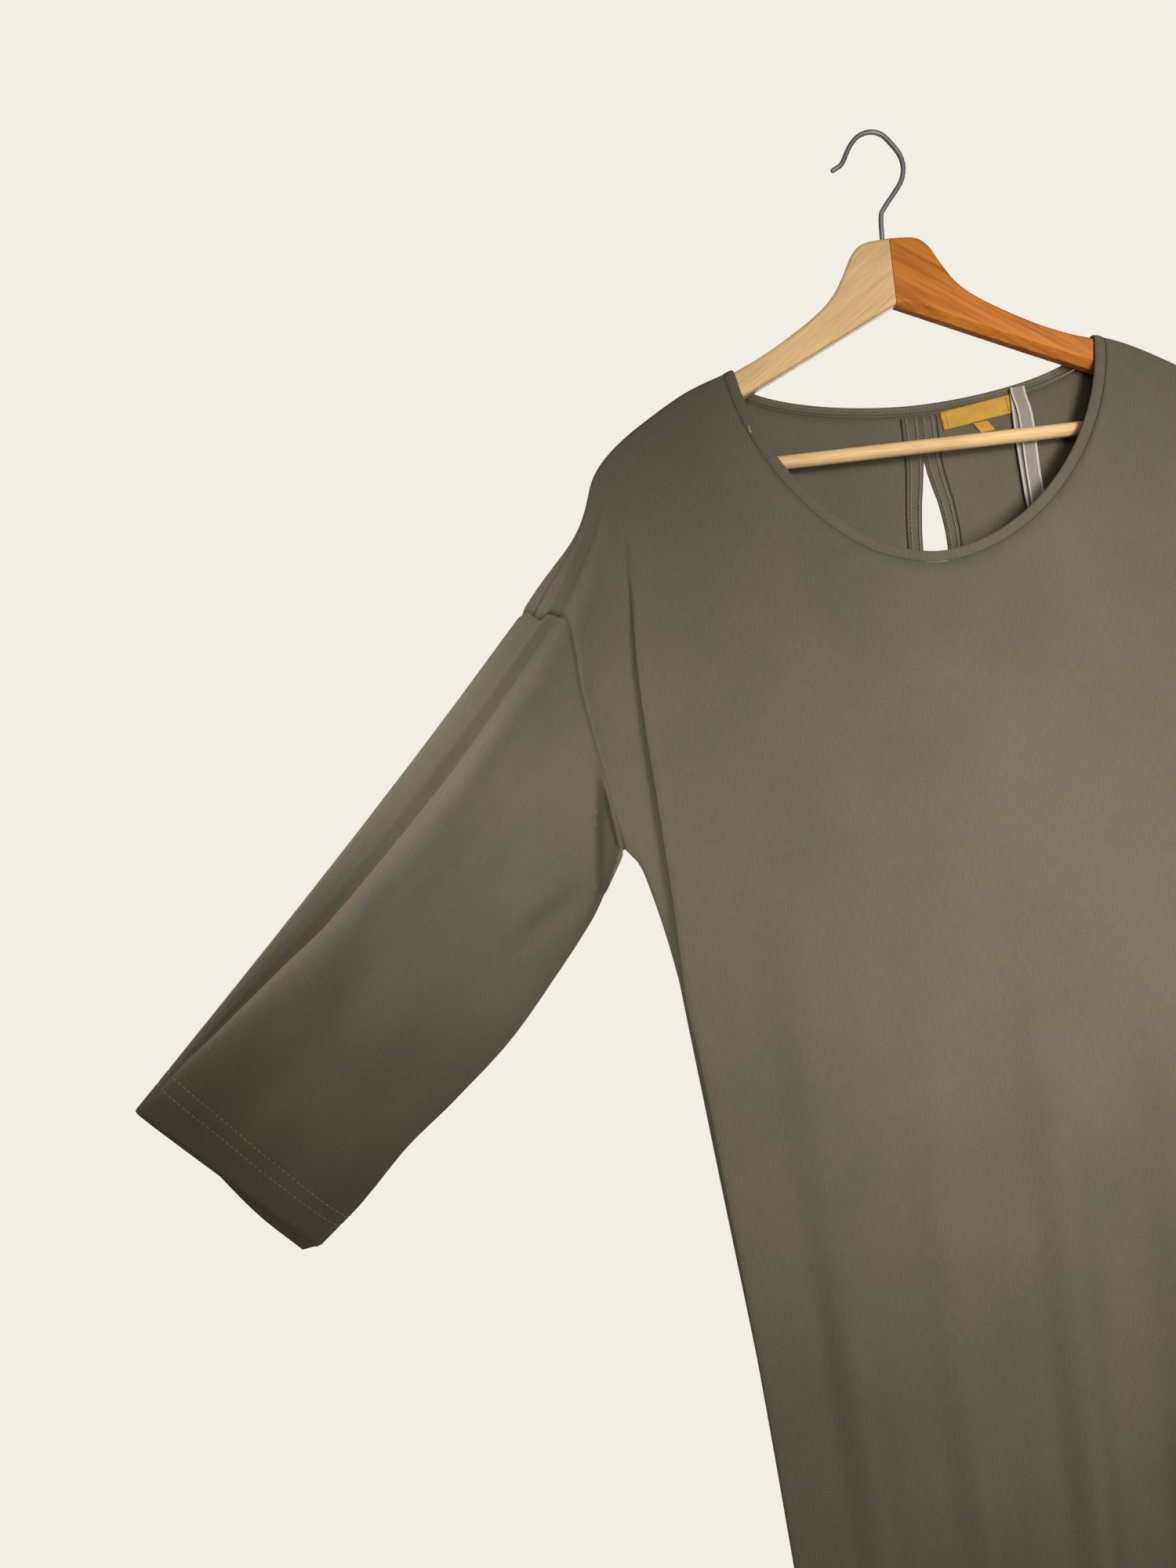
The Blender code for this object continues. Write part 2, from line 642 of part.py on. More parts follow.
def solid_from(name, points, normals, quads, wall, finish_name):
    """Give a sheet its thickness, inwards, and close its edges."""
    count = len(points)
    inner = [point - direction * wall for point, direction in zip(points, normals)]
    faces = [tuple(quad) for quad in quads]
    faces += [tuple(count + index for index in reversed(quad)) for quad in quads]
    for start, end in edge_pairs(quads):
        if points[start].z >= points[end].z:
            faces.append((end, start, count + end))
            faces.append((start, count + start, count + end))
        else:
            faces.append((end, start, count + start))
            faces.append((end, count + start, count + end))
    return make_object(name, points + inner, faces, finish_name)


def neck_stations(front, back):
    """Keys of the neck edge all round: front from left to right, then back from right to left."""
    stations = []
    corner_column = len(MIDDLE_STEPS) - 1
    for sheet, sides in ((front, (LEFT, RIGHT)), (back, (RIGHT, LEFT))):
        corner = NECK[sheet.name]["corner_row"]
        first, second = sides
        stations += [(sheet, first, corner_column, row) for row in range(0, corner)]
        stations += [(sheet, first, column, corner) for column in range(corner_column, 0, -1)]
        stations += [(sheet, 0, 0, corner)]
        stations += [(sheet, second, column, corner) for column in range(1, corner_column + 1)]
        stations += [(sheet, second, corner_column, row) for row in range(corner - 1, 0, -1)]
    return stations


def station_point(sheet, side, column, row, widen):
    """Point of the neck edge at a station, at any distance from the opening."""
    face = sheet.name
    if column == len(MIDDLE_STEPS) - 1:
        out, z, depth = neck_edge(face, side, row, widen)
    else:
        turn = corner_turn(face) * MIDDLE_STEPS[column]
        out, z, depth = neck_point(face, side or RIGHT, turn, widen)
    x = (side or RIGHT) * out
    sign = -1.0 if face == "front" else 1.0
    return Vector((x, sign * (depth + fold_depth(face, x, z)), z))


def make_neckband(front, back, normals):
    """The band that binds the neck, a ring of its own."""
    points = []
    stations = neck_stations(front, back)
    for sheet, side, column, row in stations:
        key = (side, column, row) if (side, column, row) in sheet.places else (LEFT, column, row)
        direction = normals[sheet.name][sheet.places[key]]
        opening = station_point(sheet, side, column, row, 0.0)
        sewn = station_point(sheet, side, column, row, BAND_WIDTH)
        middle = opening.lerp(sewn, 0.5)
        points += [opening, middle + direction * BAND_PROUD, sewn + direction * BAND_PROUD]
        points += [sewn - direction * (BAND_WALL - BAND_PROUD), middle - direction * (BAND_WALL - BAND_PROUD),
                   opening - direction * BAND_WALL]
    count = len(stations)
    faces = []
    ring = 6
    for station in range(count):
        following = (station + 1) % count
        for corner in range(ring):
            after = (corner + 1) % ring
            faces.append((station * ring + corner, station * ring + after,
                          following * ring + after, following * ring + corner))
    return make_object("neckband", points, faces, "jersey")


def make_facing(side, back, normals):
    """Strip on the inside of the back, along one edge of the slit."""
    sheet = Sheet("slit_facing_left" if side == LEFT else "slit_facing_right")
    directions = []
    first = NECK["back"]["corner_row"]
    for row in range(first, SLIT_ROW):
        for column in (0, 1):
            key = grid_key(back, side, column, row)
            index = back.places[key]
            direction = normals["back"][index]
            point = back.points[index] - direction * (WALL + SEAM_GAP)
            if row == first:
                point = point + Vector((0.0, 0.0, -2.0))
            if column == 0:
                point = point + Vector((side * 0.4, 0.0, 0.0))
            sheet.add((column, row), point)
            directions.append(direction)
    for row in range(first, SLIT_ROW - 1):
        keys = [(0, row), (1, row), (1, row + 1), (0, row + 1)]
        sheet.quad(keys, side == RIGHT)
    return solid_from(sheet.name, sheet.points, directions, sheet.quads, FACING_WALL, "jersey")


def depth_inside(sheet, normals, x, z):
    """Depth of a panel's inner face at a place, from the nearest points of its grid."""
    total, weight = 0.0, 0.0
    for point, direction in zip(sheet.points, normals):
        inner = point - direction * WALL
        distance = (inner.x - x) ** 2 + (inner.z - z) ** 2
        share = 1.0 / (distance + 4.0) ** 3
        total += inner.y * share
        weight += share
    return total / weight


def make_plate(name, centre, size, tilt, clear, wall, back, normals, finish_name):
    """Small flat piece of cloth that lies on the inside of the back."""
    sheet = Sheet(name)
    steps = 5
    directions = []
    for row in range(2):
        for column in range(steps):
            along_plate = (column / (steps - 1) - 0.5) * size[0]
            up_plate = (0.5 - row) * size[1]
            x = centre[0] + along_plate * math.cos(tilt) - up_plate * math.sin(tilt)
            z = centre[1] + along_plate * math.sin(tilt) + up_plate * math.cos(tilt)
            y = depth_inside(back, normals["back"], x, z) - clear
            sheet.add((column, row), Vector((x, y, z)))
            directions.append(Vector((0.0, 1.0, 0.0)))
    for column in range(steps - 1):
        sheet.quad([(column, 0), (column + 1, 0), (column + 1, 1), (column, 1)], True)
    return solid_from(name, sheet.points, directions, sheet.quads, wall, finish_name)


def make_ribbon():
    """Satin loop: down in front, folded at its end, and up behind."""
    points, faces = [], []
    count = len(RIBBON_PATH)
    path = [Vector(row) for row in RIBBON_PATH]
    for index, place in enumerate(path):
        before, after = path[max(0, index - 1)], path[min(count - 1, index + 1)]
        run = (after - before).normalized()
        wide = Vector((1.0, 0.0, 0.0))
        thick = run.cross(wide).normalized() * (RIBBON_WALL / 2.0)
        wide = wide * (RIBBON_WIDTH / 2.0)
        points += [place - wide - thick, place + wide - thick, place + wide + thick, place - wide + thick]
    for index in range(count - 1):
        for corner in range(4):
            after = (corner + 1) % 4
            faces.append((index * 4 + corner, index * 4 + after, index * 4 + 4 + after, index * 4 + 4 + corner))
    faces.append((3, 2, 1, 0))
    faces.append(tuple((count - 1) * 4 + corner for corner in range(4)))
    return make_object("loop_ribbon", points, faces, "ribbon")


def make_arm(side):
    """One half of the wooden hanger, with softened edges."""
    outline = ARM_TOP + ARM_BOTTOM
    rings = [(ARM_HALF_DEPTH, ARM_EDGE), (ARM_HALF_DEPTH - ARM_EDGE, 0.0)]
    layers = [(-rings[0][0], rings[0][1]), (-rings[1][0], 0.0), (rings[1][0], 0.0), (rings[0][0], rings[0][1])]
    points = []
    count = len(outline)
    for depth, inset in layers:
        for index, (out, z) in enumerate(outline):
            inward = outline_inward(outline, index)
            if out < 1.0:
                inward = Vector((0.0, inward[1])).normalized()
            points.append(Vector((side * (out + inward[0] * inset), depth, z + inward[1] * inset)))
    faces = []
    for layer in range(3):
        for index in range(count):
            after = (index + 1) % count
            face = (layer * count + index, layer * count + after,
                    (layer + 1) * count + after, (layer + 1) * count + index)
            faces.append(face if side == RIGHT else face[::-1])
    front = tuple(range(count))
    rear = tuple(3 * count + index for index in range(count))
    faces.append(front[::-1] if side == RIGHT else front)
    faces.append(rear if side == RIGHT else rear[::-1])
    name = "hanger_arm_left" if side == LEFT else "hanger_arm_right"
    return make_object(name, points, faces, "wood_light" if side == LEFT else "wood_red")


def outline_inward(outline, index):
    """Direction from a corner of an outline to its inside."""
    count = len(outline)
    here = Vector(outline[index])
    before = (here - Vector(outline[index - 1])).normalized()
    after = (Vector(outline[(index + 1) % count]) - here).normalized()
    run = (before + after).normalized()
    return Vector((run.y, -run.x))


def sweep_rod(name, path, radius, corners, finish_name):
    """Round rod along a path that lies in the plane of the hanger."""
    points, faces = [], []
    count = len(path)
    for index, (x, z) in enumerate(path):
        before, after = path[max(0, index - 1)], path[min(count - 1, index + 1)]
        run = Vector((after[0] - before[0], 0.0, after[1] - before[1])).normalized()
        sideways = run.cross(Vector((0.0, 1.0, 0.0)))
        for corner in range(corners):
            turn = 2.0 * math.pi * corner / corners
            offset = sideways * math.cos(turn) + Vector((0.0, math.sin(turn), 0.0))
            points.append(Vector((x, 0.0, z)) + offset * radius)
    for index in range(count - 1):
        for corner in range(corners):
            after = (corner + 1) % corners
            faces.append((index * corners + corner, (index + 1) * corners + corner,
                          (index + 1) * corners + after, index * corners + after))
    faces.append(tuple(range(corners)))
    faces.append(tuple((count - 1) * corners + corner for corner in reversed(range(corners))))
    return make_object(name, points, faces, finish_name)


def turn_outwards(thing):
    """Turn a mesh inside out if its volume comes out negative."""
    mesh = thing.data
    volume = 0.0
    for face in mesh.polygons:
        corners = [mesh.vertices[index].co for index in face.vertices]
        for index in range(1, len(corners) - 1):
            volume += corners[0].dot(corners[index].cross(corners[index + 1]))
    if volume < 0.0:
        mesh.flip_normals()


def main():
    clear_scene()
    front = make_panel("front")
    back = make_panel("back")
    sleeves = {side: make_sleeve(side, front, back) for side in (LEFT, RIGHT)}
    sheets = [front, back] + list(sleeves.values())
    normals = {sheet.name: sheet.normals() for sheet in sheets}
    sew(seam_pairs(front, back, sleeves), normals)
    for sheet in sheets:
        solid_from(sheet.name, sheet.points, normals[sheet.name], sheet.quads, WALL, "jersey")
    make_neckband(front, back, normals)
    for side in (LEFT, RIGHT):
        make_facing(side, back, normals)
        make_arm(side)
    make_plate("neck_label", LABEL_CENTRE, LABEL_SIZE, LABEL_TILT, 0.6, LABEL_WALL, back, normals, "label")
    make_plate("size_tab", TAB_CENTRE, TAB_SIZE, TAB_TILT, 0.5, LABEL_WALL, back, normals, "label")
    make_ribbon()
    sweep_rod("crossbar", [(-BAR_HALF, BAR_Z), (BAR_HALF, BAR_Z)], BAR_RADIUS, 16, "wood_light")
    sweep_rod("hook", HOOK_PATH, WIRE_RADIUS, 10, "steel")
    for thing in bpy.data.objects:
        turn_outwards(thing)


main()
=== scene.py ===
"""Looks of the jersey dress on its two-tone wooden hanger.

Sizes are in millimetres here and become metres when a mesh is made. The front faces -Y, Z is up,
and the origin is where a rail would touch the inside of the hook. "out" is a distance to the side,
away from the middle of the hanger. The cloth follows the same lines as its solids, on a finer grid.
"""
import math

import bpy
from mathutils import Matrix, Vector


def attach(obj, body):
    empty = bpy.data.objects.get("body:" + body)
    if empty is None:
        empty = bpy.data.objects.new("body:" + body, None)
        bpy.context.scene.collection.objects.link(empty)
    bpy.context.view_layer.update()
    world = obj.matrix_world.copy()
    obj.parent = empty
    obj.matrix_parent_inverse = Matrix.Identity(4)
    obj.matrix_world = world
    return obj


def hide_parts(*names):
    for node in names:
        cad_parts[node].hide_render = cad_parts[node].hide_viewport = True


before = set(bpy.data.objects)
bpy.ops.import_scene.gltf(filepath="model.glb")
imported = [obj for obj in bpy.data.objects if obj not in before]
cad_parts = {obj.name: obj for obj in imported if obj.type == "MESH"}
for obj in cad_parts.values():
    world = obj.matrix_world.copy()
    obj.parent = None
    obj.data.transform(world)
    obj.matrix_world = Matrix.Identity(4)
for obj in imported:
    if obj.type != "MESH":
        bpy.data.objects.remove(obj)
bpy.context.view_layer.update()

MM = 0.001
SHARP_ANGLE = math.radians(38.0)

# Cloth
WALL = 1.2
SEAM_GAP = 0.3
BAND_WIDTH = 7.0
NECK_CUT = BAND_WIDTH + SEAM_GAP  # from the opening to the panel's edge
FACING_WALL = 1.0
FACING_GAP = 0.15
FACING_EDGE = 0.35  # how much further the edges of a facing stand off
FACING_DROP = 1.6  # from the neck edge to the top of a facing

# Heights, measured down from the inside of the hook
UNDERARM_Z = -468.0
HEM_Z = -1097.0
NECK_TOP_Z = -150.0

# Rows of the grid that both panels share
WRAP_ROW = 3
UNDERARM_ROW = 13
HEM_ROW = 23
ROW_GROWTH = 1.25  # how the rows below the underarm grow apart
SETTLE_ROWS = 4.0  # over which a line leaves the neck or the shoulder
FADE_ROWS = 6.0  # over which the form of the top edge fades

# Sides: the sign gives the direction along X
LEFT = -1
RIGHT = 1
SIDES = (LEFT, RIGHT)
OUTWARD = {"front": -1.0, "back": 1.0}  # along Y

# The neck. The dress hangs a little to the right, so each side has its own width.
NECK_POINT_OUT = {LEFT: 116.0, RIGHT: 130.0}
NECK_POWER = 1.8
NECK_STRAIGHT_FROM = 0.24
NECK_STRAIGHT = {LEFT: 5.2, RIGHT: 0.0}  # how far the front's neck edge is pulled straighter
NECK = {  # the corner is where the neck edge turns from the side of the grid to its top
    "front": {"centre": 5.0, "drop": 143.0, "corner_row": 8, "corner_turn": 0.60, "depth": 27.0},
    "back": {"centre": 12.0, "drop": 34.0, "corner_row": 4, "corner_turn": 0.64, "depth": 14.0},
}

# Top line of the shoulder, outside of the cloth, from the neck to the armhole
SHOULDER = [  # out, z
    (84, -137.6), (113, -149.6), (147, -161), (175, -175.8), (199, -191.4), (213, -204.2), (221, -216),
    (227, -233), (233.5, -247), (251, -272), (271, -300),
]
RIDGE_OUT = 206.0
VALLEY_OUT = 217.0
ARMHOLE_OUT = 271.0

# How the cloth rounds the top of the hanger arm: row, sink below the shoulder line, depth
WRAP = [(0, 0.0, 0.0), (1, 0.5, 4.7), (2, 3.6, 8.0), (3, 11.5, 8.8)]

# Edge of the armhole on each panel, one row for each grid row from the shoulder to the underarm
ARMHOLE = {
    "front": [  # row, out, z, depth
        (0, 271, -300, 0), (1, 266, -304.5, 5), (2, 260, -301.5, 10), (3, 251, -305.5, 13),
        (4, 245.5, -317, 14), (5, 244, -333, 14), (6, 243.5, -350, 14), (7, 241.5, -368, 13.5),
        (8, 238.5, -386, 13), (9, 235.5, -404, 12), (10, 232.5, -421, 10.5), (11, 230, -438, 8.5),
        (12, 228, -454, 5.5), (13, 226.5, -468, 1),
    ],
    "back": [
        (0, 271, -300, 0), (1, 274.5, -297, 4), (2, 279, -298, 8.5), (3, 279, -306, 12.5),
        (4, 274, -321, 14.5), (5, 268.5, -337, 15), (6, 262.5, -353, 15), (7, 256, -371, 14.5),
        (8, 250, -389, 13.5), (9, 244.5, -406, 12), (10, 239.5, -423, 10), (11, 234.5, -440, 7.5),
        (12, 230, -456, 4.5), (13, 226.5, -468, 1),
    ],
}

# Lines that run down each panel: the middle, below the neck, the ridge and the valley of the pleat
# that falls from the hanger's tip, and the side seam
LINES = {
    "front": {
        "middle": [  # z, out, depth
            (-270, 0, 26), (-400, 0, 28), (-700, 0, 30), (-1097, 0, 33),
        ],
        "neck": [
            (-225, 96, 13), (-300, 92, 20), (-400, 87, 25), (-700, 72, 28), (-1097, 58, 30),
        ],
        "ridge": [
            (-200, 205, 8.3), (-231, 200.5, 9.5), (-270, 198.2, 15), (-306, 195, 20), (-342, 191, 22.5),
            (-397, 188.5, 24.5), (-468, 188, 25.5), (-562, 187, 25.5), (-612, 182.5, 25),
            (-670, 178.5, 25), (-883, 160.5, 26), (-1097, 148, 29),
        ],
        "valley": [
            (-215, 215, 8.4), (-231, 205, 8.8), (-270, 202.3, 9.3), (-306, 202.2, 9.3), (-342, 201.6, 9),
            (-397, 200.2, 8.8), (-431, 198.9, 8.5), (-468, 197.8, 8.5), (-508, 196.7, 9),
            (-562, 196, 10), (-612, 191.3, 13), (-670, 186.5, 15), (-883, 170, 17), (-1097, 158.7, 19),
        ],
    },
    "back": {
        "middle": [
            (-185, 0, 14), (-300, 0, 18), (-468, 0, 23), (-700, 0, 26), (-1097, 0, 29),
        ],
        "neck": [
            (-165, 105, 9), (-250, 100, 12), (-400, 90, 19), (-700, 74, 24), (-1097, 60, 27),
        ],
        "ridge": [
            (-200, 205, 8.3), (-231, 202, 9.5), (-306, 197, 15), (-397, 191, 20), (-468, 188, 22),
            (-562, 184, 22), (-670, 177, 22), (-883, 158, 24), (-1097, 143, 27),
        ],
        "valley": [
            (-215, 216, 8.4), (-231, 209, 9), (-306, 208, 10.5), (-397, 205.5, 12), (-468, 202.5, 12.5),
            (-562, 196, 14), (-670, 187, 16), (-883, 168, 18), (-1097, 153, 20),
        ],
    },
}
SHIFT_FROM_Z = -700.0  # the middle of the panel moves to the right from here up
SHIFT_OVER = 400.0
SIDE = [  # z, out of the side seam
    (-468, 226.5), (-480, 217.5), (-497, 212.5), (-533, 204.5), (-564, 199.5), (-612, 193.5),
    (-670, 188.5), (-735, 183), (-806, 177.5), (-883, 172.5), (-1000, 166), (-1097, 161.5),
]

# Steps across a panel, as shares of the way from one line to the next
STEPS = (
    (("middle", "neck"), (0.0, 0.12, 0.28, 0.46, 0.64, 0.82, 1.0)),
    (("neck", "ridge"), (0.0, 0.17, 0.34, 0.51, 0.68, 0.85, 1.0)),
    (("ridge", "valley"), (0.0, 0.5, 1.0)),
    (("valley", "side"), (0.0, 0.13, 0.32, 0.54, 0.77, 1.0)),
)

# Soft folds end beside the side seam, and the panel between them lies a little deeper
FOLD_MARGIN = 4.0
FOLD_RUN_OUT = 42.0
FOLD_SINK = 5.04
FOLD_SINK_FROM_Z = -420.0
FOLD_SINK_OVER = 600.0

# Soft folds that grow towards the hem: middle at the underarm and at the hem, half-width, height
FOLDS = {
    "front": [  # x at underarm, x at hem, half-width, height at hem, start z
        (-128, -104, 26, 15, -360), (-52, -38, 24, 12, -520), (38, 30, 25, 14, -430),
        (122, 98, 27, 13, -480),
    ],
    "back": [
        (-118, -92, 27, 13, -420), (-20, -12, 26, 12, -480), (92, 66, 26, 14, -400),
    ],
}

# The slit in the back
SLIT_ROW = 9
SLIT_HALF = [(4, 0.0), (5, 0.3), (5.5, 2.4), (6, 5.8), (7, 8.8), (8, 6.6), (9, 0.0)]  # row, half of the gap

# Sleeves
SLEEVE_LENGTH = 430.0
CUFF_TOP = (580.5, -605.0)
CUFF_BOTTOM = (464.5, -713.5)
CUFF_SECTION = [  # step round the sleeve, share of the width from the top, depth
    (0, 0.010, -1), (1, 0.012, -3.5), (2, 0.020, -5.5), (3, 0.036, -7.5), (4, 0.120, -9),
    (5, 0.215, -9.5), (6, 0.310, -9.5), (7, 0.405, -9.5), (8, 0.500, -9.5), (9, 0.595, -9.5),
    (10, 0.690, -9), (11, 0.785, -8.5), (12, 0.885, -7), (13, 0.975, -1), (14, 1.000, 5.5),
    (15, 0.915, 8.5), (16, 0.820, 9), (17, 0.725, 9.5), (18, 0.630, 9.5), (19, 0.535, 9.5),
    (20, 0.440, 9.5), (21, 0.345, 9.5), (22, 0.250, 9.5), (23, 0.160, 9), (24, 0.055, 8), (25, 0.006, 4),
    (26, 0.010, -1),
]
SLEEVE_BELLY = [  # share of the length, how far the lower edge hangs below a straight line
    (0, 0), (0.08, 6.5), (0.15, 12), (0.27, 16), (0.43, 19), (0.60, 14.5), (0.75, 8), (0.88, 6), (1, 0),
]
SLEEVE_PUFF = 4.0
SLEEVE_BOW = 2.0
SLEEVE_DOWN = (0.71, -0.70)  # across the sleeve, towards its lower edge
CUFF_FLATTER = 0.4

# The fold along the top of the front: the cloth behind its edge lies deeper, from the hanger's tip
# over the armhole and down the sleeve
FOLD_STEP = 3.0
FOLD_PUSH = [  # step or row from the shoulder seam, how far inwards
    (0, 0), (0.6, 1.6), (1.2, 4), (2, 7), (2.5, 9.4), (2.75, 10.4), (3, 0.4), (3.25, -3), (3.75, -4),
    (5, -2), (7, 0),
]
FOLD_PLACE = [  # share of the sleeve's length, distance of the fold's edge from the sleeve's top
    (0, 16), (0.17, 22), (0.33, 25), (0.58, 23.4), (0.69, 17.6), (0.775, 13.4), (0.84, 10.5),
    (0.89, 7.6), (1, 5),
]
FOLD_STRENGTH = [(0.0, 1.0), (0.55, 1.0), (0.8, 0.62), (0.92, 0.2), (1.0, 0.0)]  # share, strength

# The vertical fold where the front of the sleeve hangs before the underarm
UNDERARM_FOLD = [  # z, out
    (-380, 232.5), (-394.6, 234.1), (-421, 237.2), (-465.5, 242.9), (-489, 245.1), (-505, 249),
]
UNDERARM_PUSH = 8.0
UNDERARM_LIFT = 2.2
UNDERARM_FROM_Z = -392.0
UNDERARM_GROWTH = 45.0
UNDERARM_EDGE = 5.0
UNDERARM_SPREAD = 14.0

# Turned edge of the pleat: share from ridge to valley, share of the way out, share of the depth
PLEAT_EDGE = [
    (0, 0, 0), (0.25, 0.50, 0.02), (0.5, 1.02, 0.10), (0.66, 1.26, 0.30), (0.82, 1.24, 0.68), (1, 1, 1),
]

# The back of the cuff hangs a little lower than its front
CUFF_DROP = 11.0
CUFF_RUN = (0.713, -0.703)

# Hanger
ARM_HALF_DEPTH = 6.6
ARM_TOP = [  # out, z of the upper edge of the wood
    (0.2, -74), (17, -75.5), (26, -82), (34, -96), (43, -109.5), (58, -122.3), (87, -139.7),
    (113, -151.8), (147, -163.6), (175, -178.4), (199, -194.5), (211, -206.6), (216.3, -214.5),
    (217.6, -222),
]
ARM_BOTTOM = [
    (213, -226.5), (205, -226.5), (200, -223), (200, -211), (188, -204), (107, -168.6), (0.2, -119.3),
]
ARM_EDGE = 2.4
ARM_BEVEL = 4.4
BAR_Z = -216.5
BAR_RADIUS = 4.8
BAR_HALF = 199.7
WIRE_RADIUS = 1.7
HOOK_PATH = [  # x, z of the middle of the wire
    (-3, -73.7), (-2, -57), (1, -51), (8.5, -42), (14.5, -34), (17, -25), (15.5, -16), (10, -7),
    (4.5, -0.8), (-2.5, 1.7), (-9.5, 0.6), (-15, -3.2), (-19.5, -9), (-22.5, -14.5), (-25.5, -18.6),
    (-31, -21.5),
]

# Small pieces inside the back neck
LABEL_CENTRE = (52.0, -194.4)
LABEL_SIZE = (50.0, 12.8)
LABEL_TILT = math.radians(7.6)
LABEL_WALL = 0.8
LABEL_CLEAR = 0.35
LABEL_FOLD = 3.5  # how far the ends of the label are folded under
TAB_CLEAR = 0.3
TAB_CENTRE = (55.9, -204.8)
TAB_SIZE = (10.2, 7.4)
TAB_TILT = math.radians(5.4)
TAB_SLANT = 0.55
RIBBON_WIDTH = 10.0
RIBBON_WALL = 0.6
RIBBON_PATH = [  # x, depth behind the middle, z
    (80, 7.2, -181), (80.8, 6.9, -188), (82.8, 6.5, -197), (83.6, 6.1, -210), (83.8, 5.9, -235),
    (85.2, 6, -262), (86.8, 6.2, -286), (86.6, 6.9, -290.5), (85.4, 7.8, -286), (82.8, 8, -262),
    (81, 7.7, -235), (80.4, 7.8, -216), (80.2, 8.1, -199), (80.2, 8.6, -181),
]


def ease(share):
    """Smooth step from 0 to 1."""
    share = min(1.0, max(0.0, share))
    return share * share * (3.0 - 2.0 * share)


def mix(start, end, share):
    """Value on the way from start to end."""
    return start + (end - start) * share


def along(rows, key):
    """Read a table smoothly: its first column is the key, and the rest come back as a list."""
    if (rows[0][0] < rows[-1][0]) == (key <= rows[0][0]) and key != rows[0][0]:
        return list(rows[0][1:])
    last = len(rows) - 1
    for index in range(last):
        low, high = rows[index], rows[index + 1]
        share = (key - low[0]) / (high[0] - low[0])
        if 0.0 <= share <= 1.0:
            before, after = rows[max(0, index - 1)], rows[min(last, index + 2)]
            return [curve(before, low, high, after, share, column) for column in range(1, len(low))]
    return list(rows[-1][1:])


def curve(before, low, high, after, share, column):
    """Cubic through low and high, with the slopes of their neighbours, never past a level row."""
    step = high[0] - low[0]
    middle = (high[column] - low[column]) / step
    start = slope(before, low, column, middle)
    end = slope(high, after, column, middle)
    square = share * share
    cube = square * share
    return ((2 * cube - 3 * square + 1) * low[column] + (cube - 2 * square + share) * step * start
            + (3 * square - 2 * cube) * high[column] + (cube - square) * step * end)


def slope(low, high, column, other):
    """Slope at a shared row: none at a turn, else the gentler mean of both sides."""
    if high[0] == low[0]:
        return other
    own = (high[column] - low[column]) / (high[0] - low[0])
    if own * other <= 0.0:
        return 0.0
    return 2.0 * own * other / (own + other)


def shoulder_z(out):
    """Height of the shoulder line."""
    return along(SHOULDER, out)[0]


def neck_point(face, side, turn, widen):
    """Point of the neck edge: turn is 0 in the middle and 1 at the shoulder."""
    neck = NECK[face]
    half = NECK_POINT_OUT[side] - side * neck["centre"] + widen
    angle = turn * math.pi / 2.0
    power = 2.0 / NECK_POWER
    reach = half * math.sin(angle) ** power
    if face == "front" and turn > NECK_STRAIGHT_FROM:
        beyond = (turn - NECK_STRAIGHT_FROM) / (1.0 - NECK_STRAIGHT_FROM)
        reach -= NECK_STRAIGHT[side] * math.sin(math.pi * beyond)
    drop = (neck["drop"] + widen) * max(0.0, math.cos(angle)) ** power
    out = side * neck["centre"] + reach
    top = mix(NECK_TOP_Z, shoulder_z(NECK_POINT_OUT[side] + widen), ease(turn))
    return out, top - drop, neck["depth"] * (1.0 - ease(turn)) + WRAP[-1][2] * ease(turn)


def wrap_point(out, row):
    """Point of a wrap row, on the cloth that rounds the hanger's arm."""
    sink, depth = along(WRAP, row)
    rise = shoulder_z(out + 1.0) - shoulder_z(out - 1.0)
    length = math.hypot(2.0, rise)
    return out + sink * rise / length, shoulder_z(out) - sink * 2.0 / length, depth


def neck_edge(face, side, row, widen):
    """Neck edge between the shoulder and the corner row."""
    neck = NECK[face]
    sink = along(WRAP, min(row, WRAP_ROW))[0] / (neck["drop"] + widen)
    turn = 1.0 - (2.0 / math.pi) * math.asin(sink ** (NECK_POWER / 2.0))
    if row <= WRAP_ROW:
        point_out = neck_point(face, side, turn, widen)[0]
        wrap = wrap_point(point_out, row)
        return point_out, wrap[1], wrap[2]
    share = (row - WRAP_ROW) / (neck["corner_row"] - WRAP_ROW)
    return neck_point(face, side, mix(turn, NECK[face]["corner_turn"], share), widen)


def middle_shift(face, z):
    """How far the middle of the panel hangs to the right."""
    return NECK[face]["centre"] * ease((z - SHIFT_FROM_Z) / SHIFT_OVER)


def armhole_line(face, row):
    """Side edge of the panel: the armhole, then the side seam."""
    if row <= UNDERARM_ROW:
        return tuple(along(ARMHOLE[face], row))
    z = low_z(row)
    return along(SIDE, z)[0], z, 1.0 - ease((UNDERARM_Z - z) / 40.0)


def low_z(row):
    """Height of a row below the underarm; the first rows lie closer together."""
    share = (row - UNDERARM_ROW) / (HEM_ROW - UNDERARM_ROW)
    return mix(UNDERARM_Z, HEM_Z, share ** ROW_GROWTH)


